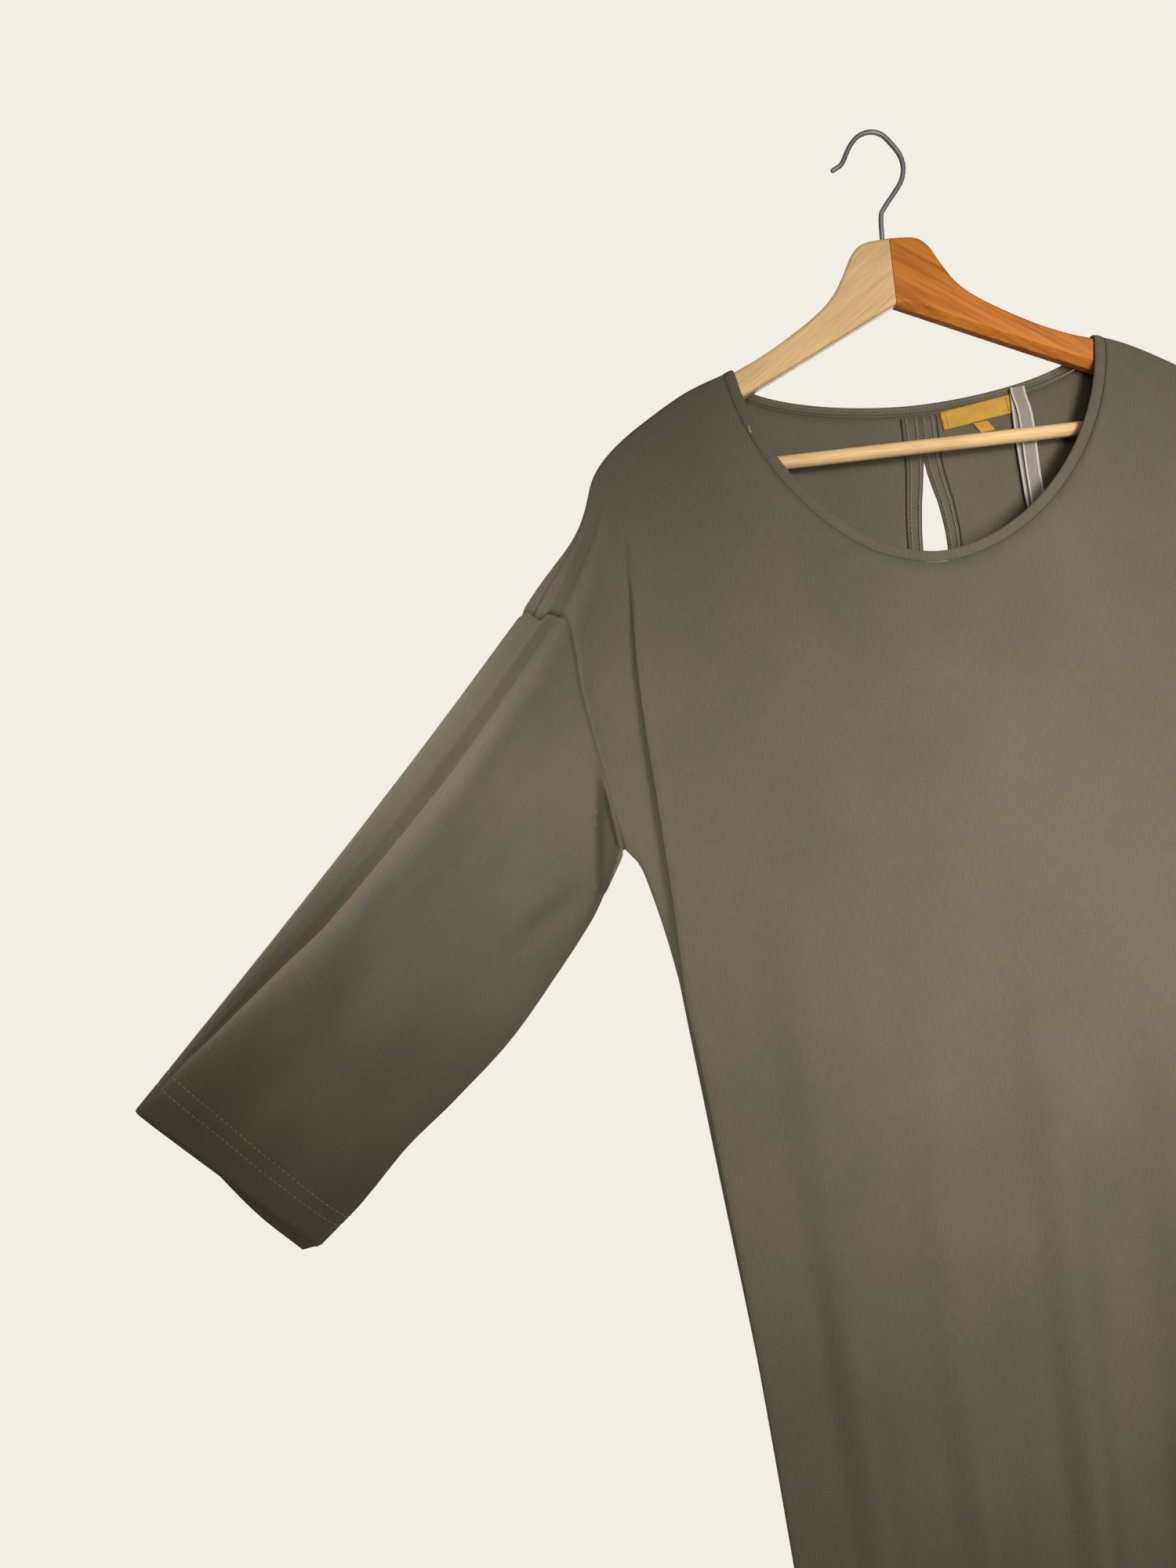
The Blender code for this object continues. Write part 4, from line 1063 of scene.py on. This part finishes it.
def label_material():
    """Mustard woven tape, left bare."""
    material, tree, shader = new_material("label_tape", 0.72)
    cloth = cloth_coordinates(tree)
    ribs = add_node(tree, "ShaderNodeTexWave", Scale=1.0)
    ribs.bands_direction = "Y"
    tree.links.new(scaled(tree, cloth, (0.4, 0.42, 1.0)), ribs.inputs["Vector"])
    floats = noise(tree, cloth, (1.1, 2.6, 1.0), 2.0)
    worn = noise(tree, cloth, (0.09, 0.14, 1.0), 2.0)
    fine = ramp(tree, floats, tinted(MUSTARD, 0.78), MUSTARD, 0.32, 0.62)
    broad = ramp(tree, worn, (0.86, 0.86, 0.9), (1.08, 1.06, 1.1), 0.3, 0.7)
    paint(tree, shader, fine, broad)
    shader.inputs["Sheen Weight"].default_value = 0.2
    bump(tree, shader, maths(tree, "MULTIPLY_ADD", ribs.outputs["Fac"], 0.8, floats), 0.4, 0.12)
    return material


def satin_material():
    """Satin ribbon: smooth middle and a paler woven edge."""
    material, tree, shader = new_material("satin_ribbon", 0.55)
    cloth = cloth_coordinates(tree)
    parts = tree.nodes.new("ShaderNodeSeparateXYZ")
    tree.links.new(cloth, parts.inputs["Vector"])
    width = maths(tree, "ABSOLUTE", parts.outputs["X"])
    edge = ramp(tree, maths(tree, "MULTIPLY", width, 0.2), SATIN, SATIN_EDGE, 0.70, 0.80)
    floats = noise(tree, cloth, (4.0, 0.25, 1.0), 2.0)
    streaks = ramp(tree, floats, (0.86, 0.86, 0.88), (1.06, 1.06, 1.04), 0.35, 0.65)
    paint(tree, shader, edge, streaks)
    shader.inputs["Specular IOR Level"].default_value = 0.3
    bump(tree, shader, floats, 0.25, 0.08)
    return material


def wood_material(name, pale, dark, contrast, roughness):
    """Varnished wood: growth lines along the piece, fine pores and a slow change of tone."""
    material, tree, shader = new_material(name, roughness)
    cloth = cloth_coordinates(tree)
    bands = noise(tree, cloth, (0.008, 0.22, 0.12), 5.0, 1.6)
    fibre = noise(tree, cloth, (0.05, 2.2, 1.8), 3.0)
    pores = noise(tree, cloth, (0.22, 3.4, 3.0), 2.0)
    tone = noise(tree, cloth, (0.012, 0.03, 0.03), 2.0)
    grown = ramp(tree, bands, dark, pale, 0.46 - contrast, 0.46 + 0.5 * contrast)
    lines = ramp(tree, fibre, (0.80, 0.75, 0.70), (1.04, 1.04, 1.04), 0.3, 0.62)
    specks = ramp(tree, pores, (0.72, 0.66, 0.6), (1.0, 1.0, 1.0), 0.26, 0.36)
    broad = ramp(tree, tone, (0.90, 0.88, 0.84), (1.06, 1.06, 1.08), 0.3, 0.7)
    paint(tree, shader, grown, lines, specks, broad)
    shader.inputs["Specular IOR Level"].default_value = 0.12
    bump(tree, shader, maths(tree, "MULTIPLY_ADD", pores, 0.5, fibre), 0.12, 0.15)
    return material


def steel_material():
    """Plated wire, dulled with use."""
    return speckled_material("hook_steel", STEEL, 0.75, 0.48, 60.0, 3.0, (0.35, 0.65), 0.7)[0]


def stage_material(name, colour):
    """Plain pale paper."""
    return speckled_material(name, colour, 0.985, 0.95, 40.0, 2.0, (0.3, 0.7))[0]


def smooth_path(path, parts):
    """Catmull-Rom curve through the points."""
    rows = [Vector(row) for row in path]
    rows = [rows[0] * 2.0 - rows[1]] + rows + [rows[-1] * 2.0 - rows[-2]]
    curve_points = []
    for index in range(1, len(rows) - 2):
        before, low, high, after = rows[index - 1:index + 3]
        for part in range(parts):
            share = part / parts
            curve_points.append(0.5 * ((2.0 * low) + (high - before) * share
                                       + (2.0 * before - 5.0 * low + 4.0 * high - after) * share ** 2
                                       + (3.0 * low - before - 3.0 * high + after) * share ** 3))
    return curve_points + [rows[-2]]


def ring_faces(rings, corners, closed=False):
    """Faces between rings of points, and back to the first ring when the tube is closed."""
    faces = []
    for ring in range(rings if closed else rings - 1):
        low, high = ring * corners, (ring + 1) % rings * corners
        for corner in range(corners):
            after = (corner + 1) % corners
            faces.append((low + corner, low + after, high + after, high + corner))
    return faces


def tube_faces(rings, corners):
    """Faces of a tube with end caps."""
    ends = [tuple(reversed(range(corners))), tuple(range((rings - 1) * corners, rings * corners))]
    return ring_faces(rings, corners) + ends


def circle(middle, sideways, upright, radius, corners):
    """Points of a circle round a middle."""
    turns = [2.0 * math.pi * corner / corners for corner in range(corners)]
    return [middle + (sideways * math.cos(turn) + upright * math.sin(turn)) * radius for turn in turns]


def sweep(path, radii, corners):
    """Points of a round tube along a path, with its own radius at each point."""
    points = []
    count = len(path)
    for index, place in enumerate(path):
        run = (path[min(count - 1, index + 1)] - path[max(0, index - 1)]).normalized()
        sideways = run.cross(Vector((0.0, 1.0, 0.0)))
        if sideways.length < 0.2:
            sideways = run.cross(Vector((1.0, 0.0, 0.0)))
        sideways.normalize()
        points += circle(place, sideways, run.cross(sideways), radii[index], corners)
    return points


def band_stations(front, back, normals):
    """Stations of the neck edge all round, each with its face, side, column and row, and a direction."""
    stations = []
    for sheet, (first, second) in ((front, (LEFT, RIGHT)), (back, (RIGHT, LEFT))):
        corner_row = CORNER_ROW[sheet.name]
        keys = [(first, CORNER, j) for j in range(corner_row)]
        keys += [(first, i, corner_row) for i in range(CORNER, 0, -1)]
        keys += [(second, i, corner_row) for i in range(CORNER + 1)]
        keys += [(second, CORNER, j) for j in range(corner_row - 1, 0, -1)]
        for side, i, j in keys:
            key = grid_key(sheet, side, i, j)
            if side == first or key[0]:
                direction = normals[sheet.name][sheet.places[key]]
                stations.append((sheet.name, side, COLUMNS[i], ROWS[j], direction))
    return stations


def band_point(station, across_band, out):
    """Point of the neck band: a distance from the opening, and a distance out of the cloth."""
    face, side, column, row, direction = station
    if column == CORNER_COLUMN:
        place = neck_edge(face, side, row, across_band)
    else:
        turn = NECK[face]["corner_turn"] * column_at(column)[1]
        place = neck_point(face, side, turn, across_band)
    x = side * place[0]
    point = Vector((x, OUTWARD[face] * (place[2] + fold_depth(face, x, place[1])), place[1]))
    return point + direction * out


BAND_SECTION = [  # across the band, out of the cloth
    (0, -0.45), (0.25, 0.05), (0.9, 0.45), (2.2, 0.62), (3.8, 0.66), (5.3, 0.5), (6.4, 0.16),
    (7.1, -0.5), (7, -1.25), (6, -1.6), (3.8, -1.7), (1.6, -1.6), (0.5, -1.25), (0.05, -0.85),
]


def make_band(stations, material):
    """The jersey band that binds the neck."""
    points, weave = [], []
    run = 0.0
    for number, station in enumerate(stations):
        if number:
            run += (band_point(station, 3.5, 0.0) - band_point(stations[number - 1], 3.5, 0.0)).length
        pull = 0.10 * math.sin(run * 1.9) + 0.08 * math.sin(run * 0.83 + 1.0)
        for across_band, out in BAND_SECTION:
            lift = out + (pull if 4.0 < across_band < 7.0 and out > 0.0 else 0.0)
            points.append(band_point(station, across_band, lift))
            weave.append((run, across_band))
    faces = ring_faces(len(stations), len(BAND_SECTION), True)
    thing = make_object("neckband_cloth", points, faces, material)
    weave_layer(thing, weave)
    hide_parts("neckband")
    return thing, run


def walk(path, pitch):
    """Even places along a path of (point, direction): point, direction and run at each."""
    places = []
    left = pitch * 0.5
    for (start, start_out), (end, end_out) in zip(path, path[1:]):
        length = (end - start).length
        if length < 1e-6:
            continue
        run = (end - start) / length
        reach = left
        while reach <= length:
            share = reach / length
            places.append((start.lerp(end, share), start_out.lerp(end_out, share).normalized(), run))
            reach += pitch
        left = reach - length
    return places


def capsule(points, faces, start, end, radius, corners=5):
    """Add a thread between two points, with rounded ends."""
    run = (end - start).normalized()
    side = run.cross(Vector((0.3, 0.5, 0.81))).normalized()
    up = run.cross(side)
    base = len(points)
    rings = ((0.0, 0.45), (0.18, 1.0), (0.82, 1.0), (1.0, 0.45))
    for share, size in rings:
        points += circle(start.lerp(end, share), side, up, radius * size, corners)
    faces += [tuple(base + index for index in face) for face in tube_faces(len(rings), corners)]


def sew_rows(name, paths, pitch, length, material, zigzag=0.0, lift=0.12):
    """One object that holds rows of stitches along paths of (point, direction)."""
    points, faces = [], []
    for path in paths:
        for number, (place, out, run) in enumerate(walk(path, pitch)):
            sideways = run.cross(out).normalized()
            lean = zigzag if number % 2 else -zigzag
            middle = place + out * lift
            half = run * length * 0.5
            capsule(points, faces, middle - half - sideways * lean, middle + half + sideways * lean, THREAD)
    return make_object(name, points, faces, material)


def sheet_path(sheet, normals, keys):
    """Path over a sheet along a list of keys."""
    return [(sheet.at(key), normals[sheet.name][sheet.places[key]]) for key in keys]


def make_facing(side, back, normals, material):
    """Strip on the inside of the back, along one edge of the slit, with its stitching paths; the last runs
    along its outer edge and carries the painted shadow of that edge.
    """
    name = "slit_facing_left" if side == LEFT else "slit_facing_right"
    sheet = Sheet(name)
    first, last = CORNER_ROW["back"], ROWS.index(SLIT_ROW - 1)
    width = COLUMNS.index(1.0)
    directions = {}
    for j in range(first, last + 1):
        for i in range(width + 1):
            key = grid_key(back, side, i, j)
            direction = normals[back.places[key]]
            lift = WALL + FACING_GAP + (FACING_EDGE if i in (0, width) else 0.0)
            point = back.at(key) - direction * lift
            if j == first:
                point = point - Vector((0.0, 0.0, FACING_DROP))
            if i == 0:
                point = point + Vector((side * (0.3 if ROWS[j] > 5.3 else -0.5), 0.0, 0.0))
            sheet.add((i, j), point, (point.x, point.z))
            directions[(i, j)] = -direction
    sheet.grid(range(width), range(first, last), side == RIGHT)
    thing = cloth_object(sheet, FACING_WALL, material)
    paths = [[(sheet.at((i, j)) + directions[(i, j)] * FACING_WALL, directions[(i, j)])
              for j in range(first, last + 1)] for i in (1, width - 1, width)]
    return thing, sheet, paths


def depth_inside(sheet, normals, x, z):
    """Depth of a panel's inner face at a place, from the nearest points of its grid."""
    total, weight = 0.0, 0.0
    for point, direction in zip(sheet.points, normals):
        distance = (point.x - x) ** 2 + (point.z - z) ** 2
        if distance < 400.0:
            share = 1.0 / (distance + 2.0) ** 3
            total += (point.y - direction.y * WALL) * share
            weight += share
    return total / weight


def make_plate(name, centre, size, tilt, clear, back, normals, material, fold, slant=0.0):
    """Small flat piece of cloth on the inside of the back, with its ends folded under."""
    sheet = Sheet(name)
    wide, high = 28, 8
    for row in range(high + 1):
        for column in range(wide + 1):
            along_plate = (column / wide - 0.5) * size[0]
            up_plate = (0.5 - row / high) * size[1]
            x = centre[0] + along_plate * math.cos(tilt) - up_plate * (math.sin(tilt) + slant)
            z = centre[1] + along_plate * math.sin(tilt) + up_plate * math.cos(tilt)
            from_end = size[0] / 2.0 - abs(along_plate)
            lift = 0.35 * ease((fold - from_end) / 1.0) - 0.4 * ease((0.5 - from_end) / 0.5)
            lift += 0.22 * math.sin(along_plate / 5.5 + 0.7) * (row / high)
            y = depth_inside(back, normals, x, z) - clear - LABEL_WALL - lift
            sheet.add((column, row), Vector((x, y, z)), (along_plate, up_plate))
    sheet.grid(range(wide), range(high), True)
    return cloth_object(sheet, LABEL_WALL * 0.8, material), sheet


def make_ribbon(material):
    """Satin hanging loop: down in front, folded at its end, and up behind."""
    sheet = Sheet("loop_ribbon")
    path = smooth_path(RIBBON_PATH, 8)
    wide = 10
    run_length = 0.0
    for index, place in enumerate(path):
        before, after = path[max(0, index - 1)], path[min(len(path) - 1, index + 1)]
        run_length += (place - path[max(0, index - 1)]).length
        thick = (after - before).normalized().cross(Vector((1.0, 0.0, 0.0))).normalized()
        for column in range(wide + 1):
            across_ribbon = (column / wide - 0.5) * RIBBON_WIDTH
            curl = 0.5 * (across_ribbon / (RIBBON_WIDTH / 2.0)) ** 4
            wave = 0.3 * math.sin(run_length / 7.0 + column * 0.25)
            point = place + Vector((across_ribbon, 0.0, 0.0)) + thick * (curl + wave) * 0.6
            sheet.add((column, index), point, (across_ribbon, run_length))
    sheet.grid(range(wide), range(len(path) - 1), False)
    return cloth_object(sheet, RIBBON_WALL, material, 0.0), run_length


def arm_outline():
    """Outline of a hanger arm with its long edges drawn smooth and its foot kept square."""
    top = smooth_path(ARM_TOP, 6)
    foot = [Vector(row) for row in ARM_BOTTOM[:5]]
    under = smooth_path(ARM_BOTTOM[4:], 14)
    outline = top + foot[:-1] + under
    return [point for index, point in enumerate(outline) if (point - outline[index - 1]).length > 0.05]


def inward_directions(outline):
    """Direction into the wood at each point of an arm's outline, upright where the two arms meet."""
    directions = []
    for before, here, after in zip(outline[-1:] + outline, outline, outline[1:] + outline[:1]):
        run = (here - before).normalized() + (after - here).normalized()
        direction = Vector((run.y, -run.x)).normalized()
        if here.x < 1.0:
            level = abs(direction.y) <= 0.2
            direction = Vector((0.0, 0.0)) if level else Vector((0.0, direction.y)).normalized()
        directions.append(direction)
    return directions


def make_arm(side, material):
    """One half of the wooden hanger, with a rounded edge all along."""
    outline = arm_outline()
    inward = inward_directions(outline)
    bevelled = [side == RIGHT and here.x > 3.0 and direction.y > 0.5
                for here, direction in zip(outline, inward)]
    layers = [(-ARM_HALF_DEPTH, ARM_EDGE + 0.6)]
    steps = 5
    for step in range(steps + 1):
        turn = 0.5 * math.pi * step / steps
        layers.append((ARM_EDGE * (1.0 - math.cos(turn)) - ARM_HALF_DEPTH, ARM_EDGE * (1.0 - math.sin(turn))))
    layers.append((ARM_BEVEL - ARM_HALF_DEPTH, 0.0))
    layers += [(-depth, inset) for depth, inset in reversed(layers)]
    points, weave = [], []
    slope_angle = math.atan2(ARM_TOP[0][1] - ARM_TOP[-1][1], ARM_TOP[-1][0])
    for layer, (depth, inset) in enumerate(layers):
        for here, direction, bevel in zip(outline, inward, bevelled):
            reach = ARM_BEVEL - (depth + ARM_HALF_DEPTH) + (0.6 if layer == 0 else 0.0)
            place = here + direction * (max(reach, 0.0) if bevel and depth < 0.0 else inset)
            points.append(Vector((side * place.x, depth, place.y)))
            along_arm = place.x * math.cos(slope_angle) - place.y * math.sin(slope_angle)
            across_arm = place.x * math.sin(slope_angle) + place.y * math.cos(slope_angle)
            weave.append((along_arm + 500.0 * side, across_arm, depth))
    faces = tube_faces(len(layers), len(outline))
    if side == LEFT:
        faces = [face[::-1] for face in faces]
    name = "hanger_arm_left" if side == LEFT else "hanger_arm_right"
    thing = make_object(name + "_wood", points, faces, material)
    weave_layer(thing, weave)
    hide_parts(name)


def make_bar(material):
    """Turned crossbar."""
    steps = 24
    path = [Vector((mix(-BAR_HALF, BAR_HALF, step / steps), 0.0, BAR_Z)) for step in range(steps + 1)]
    points = sweep(path, [BAR_RADIUS] * len(path), 40)
    thing = make_object("crossbar_wood", points, tube_faces(len(path), 40), material)
    weave_layer(thing, [(point.x, point.y, point.z + 800.0) for point in points])
    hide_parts("crossbar")


def make_hook(material):
    """Bent wire hook with a rounded tip."""
    flat = smooth_path(HOOK_PATH, 8)
    path = [Vector((point.x, 0.0, point.y)) for point in flat]
    radii = [WIRE_RADIUS] * len(path)
    run = (path[-1] - path[-2]).normalized()
    for share in (0.35, 0.7, 0.92, 1.0):
        path.append(path[len(flat) - 1] + run * WIRE_RADIUS * share)
        radii.append(WIRE_RADIUS * math.sqrt(max(0.01, 1.0 - share * share)))
    thing = make_object("hook_wire", sweep(path, radii, 20), tube_faces(len(path), 20), material)
    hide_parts("hook")


def make_camera():
    """Camera at the photograph's place and angle."""
    data = bpy.data.cameras.new("photo_camera")
    data.lens = CAMERA_LENS
    data.sensor_fit = "VERTICAL"
    data.sensor_height = CAMERA_SENSOR
    camera = bpy.data.objects.new("photo_camera", data)
    cosine, sine = math.cos(CAMERA_TURN), math.sin(CAMERA_TURN)
    turn = Matrix(((cosine, sine, 0.0), (0.0, 0.0, -1.0), (-sine, cosine, 0.0)))
    camera.matrix_world = Matrix.Translation(CAMERA_PLACE) @ turn.to_4x4()
    bpy.context.collection.objects.link(camera)
    bpy.context.scene.camera = camera


def make_light(name, place, target, size, power, colour, spread):
    """Soft area light that faces a target. Places are in metres."""
    data = bpy.data.lights.new(name, "AREA")
    data.shape = "SQUARE"
    data.size = size
    data.energy = power
    data.color = colour
    data.spread = math.radians(spread)
    light = bpy.data.objects.new(name, data)
    light.location = place
    light.rotation_euler = (Vector(target) - Vector(place)).to_track_quat("-Z", "Y").to_euler()
    bpy.context.collection.objects.link(light)


def make_world():
    """Cream surroundings: bright behind the object, softer as light."""
    world = bpy.data.worlds.new("studio")
    bpy.context.scene.world = world
    world.use_nodes = True
    tree = world.node_tree
    tree.nodes.clear()
    seen = add_node(tree, "ShaderNodeBackground", Color=(*CREAM, 1.0), Strength=1.0)
    lit = add_node(tree, "ShaderNodeBackground", Color=(1.0, 0.985, 0.96, 1.0), Strength=0.095)
    path = tree.nodes.new("ShaderNodeLightPath")
    both = tree.nodes.new("ShaderNodeMixShader")
    output = tree.nodes.new("ShaderNodeOutputWorld")
    tree.links.new(path.outputs["Is Camera Ray"], both.inputs[0])
    tree.links.new(lit.outputs[0], both.inputs[1])
    tree.links.new(seen.outputs[0], both.inputs[2])
    tree.links.new(both.outputs[0], output.inputs["Surface"])


def make_stage():
    """Plain pale floor below the dress."""
    mesh = bpy.data.meshes.new("floor")
    mesh.from_pydata([(-1.6, -1.8, -1.6), (1.6, -1.8, -1.6), (1.6, 0.9, -1.6), (-1.6, 0.9, -1.6)], [],
                     [(0, 1, 2, 3)])
    mesh.materials.append(stage_material("floor_paper", CREAM))
    floor = bpy.data.objects.new("floor", mesh)
    bpy.context.collection.objects.link(floor)


def dress():
    """Build and sew all the cloth."""
    front, back = make_panel("front"), make_panel("back")
    rings = {side: armhole_ring(front, back, side) for side in SIDES}
    sleeves = {side: make_sleeve(side, rings[side]) for side in SIDES}
    sheets = [front, back] + list(sleeves.values())
    normals = {sheet.name: sheet.normals() for sheet in sheets}
    share_normals(seam_groups(front, back, sleeves, rings), normals)
    stations = band_stations(front, back, normals)
    for panel in (front, back):
        dress_panel(panel, normals[panel.name])
    for side, sleeve in sleeves.items():
        dress_sleeve(sleeve, rings[side], normals[sleeve.name])
    normals = {sheet.name: sheet.normals() for sheet in sheets}

    jersey = jersey_material()
    threads = {name: thread_material(name, colour) for name, colour in THREADS.items()}
    for sheet in sheets:
        thing = cloth_object(sheet, WALL, jersey)
    band, length = make_band(stations, jersey)
    for side in SIDES:
        thing, sheet, paths = make_facing(side, back, normals["back"], jersey)
        sew_rows(thing.name + "_stitches", paths[:2], 1.5, 1.3, threads["seam_thread"], 0.45)
        # Painted shadow: a row of near-black thread along the facing's outer edge stands for the shadow of
        # that edge.
        sew_rows(thing.name + "_edge_painted_shadow", paths[2:], 1.3, 1.2, threads["painted_shadow_thread"], 0.1, lift=0.0)
    dress_label(back, normals["back"], threads["label_thread"])
    ribbon, length = make_ribbon(satin_material())
    sew_hems(front, back, sleeves, normals, threads["sewing_thread"])
    sew_neck(stations, threads)
    sew_tack(front, normals["front"], threads["sewing_thread"])


def dress_label(back, normals, thread):
    """The label with its stitched ends, and the tab under it."""
    tape = label_material()
    label, sheet = make_plate("neck_label", LABEL_CENTRE, LABEL_SIZE, LABEL_TILT, LABEL_CLEAR, back, normals,
                              tape, LABEL_FOLD)
    ends = [[(sheet.at((column, row)) + Vector((0.0, -0.1, 0.0)), Vector((0.0, -1.0, 0.0)))
             for row in range(1, 8)] for column in (2, 26)]
    sew_rows("label_stitches", ends, 2.0, 1.4, thread)
    tab = make_plate("size_tab", TAB_CENTRE, TAB_SIZE, TAB_TILT, TAB_CLEAR, back, normals,
                     tape, 0.0, TAB_SLANT)[0]


def sew_neck(stations, threads):
    """Rows of stitches along the neck band, outside and inside, with a near-black row at the seam itself that
    is painted shade: it stands for the seam's shadow.
    """
    rows = (  # name, across the band, out of the cloth, side, pitch, length, lift, thread
        ("outside", 6.2, 0.25, 1.0, 2.5, 1.9, -0.1, "soft_thread"),
        ("inside", 2.0, -1.65, -1.0, 2.5, 1.7, 0.05, "seam_thread"),
        # The near-black row at the seam is painted shade, the shadow along the band's seam.
        ("low", 5.6, -1.62, -1.0, 2.5, 2.0, 0.0, "painted_shadow_thread"),
    )
    for name, across_band, out, outward, pitch, length, lift, thread in rows:
        path = [(band_point(station, across_band, out), station[4] * outward)
                for station in stations + stations[:1]]
        sew_rows("neck_stitches_" + name, [path], pitch, length, threads[thread], lift=lift)


def sew_hems(front, back, sleeves, normals, thread):
    """Twin rows of stitches round each cuff and round the hem."""
    for sleeve in sleeves.values():
        steps = sorted({key[1] for key in sleeve.places}) + [0]
        rings = [RINGS.index(1.0 - height / SLEEVE_LENGTH) for height in CUFF_ROWS]
        paths = [sheet_path(sleeve, normals, [(number, step) for step in steps]) for number in rings]
        sew_rows(sleeve.name + "_stitches", paths, *HEM_STITCH, thread)
    last_rise = low_z(HEM_ROW - 1) - HEM_Z
    sides = [(LEFT, i) for i in range(LAST, 0, -1)] + [(0, 0)] + [(RIGHT, i) for i in range(1, LAST + 1)]
    for panel in (front, back):
        numbers = [ROWS.index(HEM_ROW - height / last_rise) for height in HEM_ROWS]
        paths = [sheet_path(panel, normals, [(*place, j) for place in sides]) for j in numbers]
        sew_rows(panel.name + "_hem_stitches", paths, *HEM_STITCH, thread)


def sew_tack(front, normals, thread):
    """Small tack stitch beside the neck, on the left of the chest."""
    points, faces = [], []
    low, high = (nearest_on(front, normals, *place) for place in TACK)
    capsule(points, faces, low, high, THREAD * TACK_SIZE)
    turn = low.lerp(high, 0.15)
    capsule(points, faces, turn, turn + Vector((1.4, 0.0, 0.6)), THREAD * TACK_SIZE)
    make_object("chest_tack", points, faces, thread)


def nearest_on(sheet, normals, x, z):
    """A point just above the front's outer face, at a place in the plane of the hanger."""
    return Vector((x, depth_inside(sheet, normals, x, z) - WALL - 0.7, z))


def hanger():
    """Build the hanger's arms, crossbar and hook."""
    maple = wood_material("maple_wood", MAPLE, MAPLE_DARK, 0.30, 0.42)
    cherry = wood_material("cherry_wood", CHERRY, CHERRY_DARK, 0.22, 0.36)
    make_arm(LEFT, maple)
    make_arm(RIGHT, cherry)
    make_bar(maple)
    make_hook(steel_material())


def studio():
    """Camera, lights, surroundings and floor."""
    make_camera()
    make_world()
    make_stage()
    make_light("key", (0.35, -1.35, -0.25), (0.10, 0.0, -0.52), 0.5, 1.5, (1.0, 0.975, 0.94), 40.0)
    make_light("second", (0.80, -1.35, 0.1), (0.52, 0.0, -0.5), 0.5, 0.9, (1.0, 0.975, 0.94), 50.0)
    make_light("hanger", (0.15, -1.30, -0.50), (0.06, 0.0, -0.11), 0.3, 0.13, (1.0, 0.98, 0.95), 20.0)
    make_light("left", (-1.05, -0.60, 0.22), (-0.39, 0.0, -0.35), 0.25, 0.33, (1.0, 0.98, 0.92), 19.0)
    make_light("fill", (-0.40, -1.5, 0.05), (-0.25, 0.0, -0.34), 0.7, 0.30, (1.0, 0.98, 0.95), 26.0)
    make_light("rim", (-1.05, -0.20, 0.15), (-0.47, 0.0, -0.56), 0.12, 0.10, (1.0, 0.98, 0.86), 22.0)
    make_light("low", (0.1, -1.5, -0.95), (0.04, 0.0, -0.84), 0.8, 0.60, (1.0, 0.98, 0.95), 34.0)
    make_light("behind", (0.6, 1.8, 0.3), (0.0, 0.0, -0.5), 1.5, 24.0, (1.0, 0.98, 0.95), 120.0)
    bpy.context.scene.view_settings.view_transform = "Standard"


studio()
dress()
hanger()
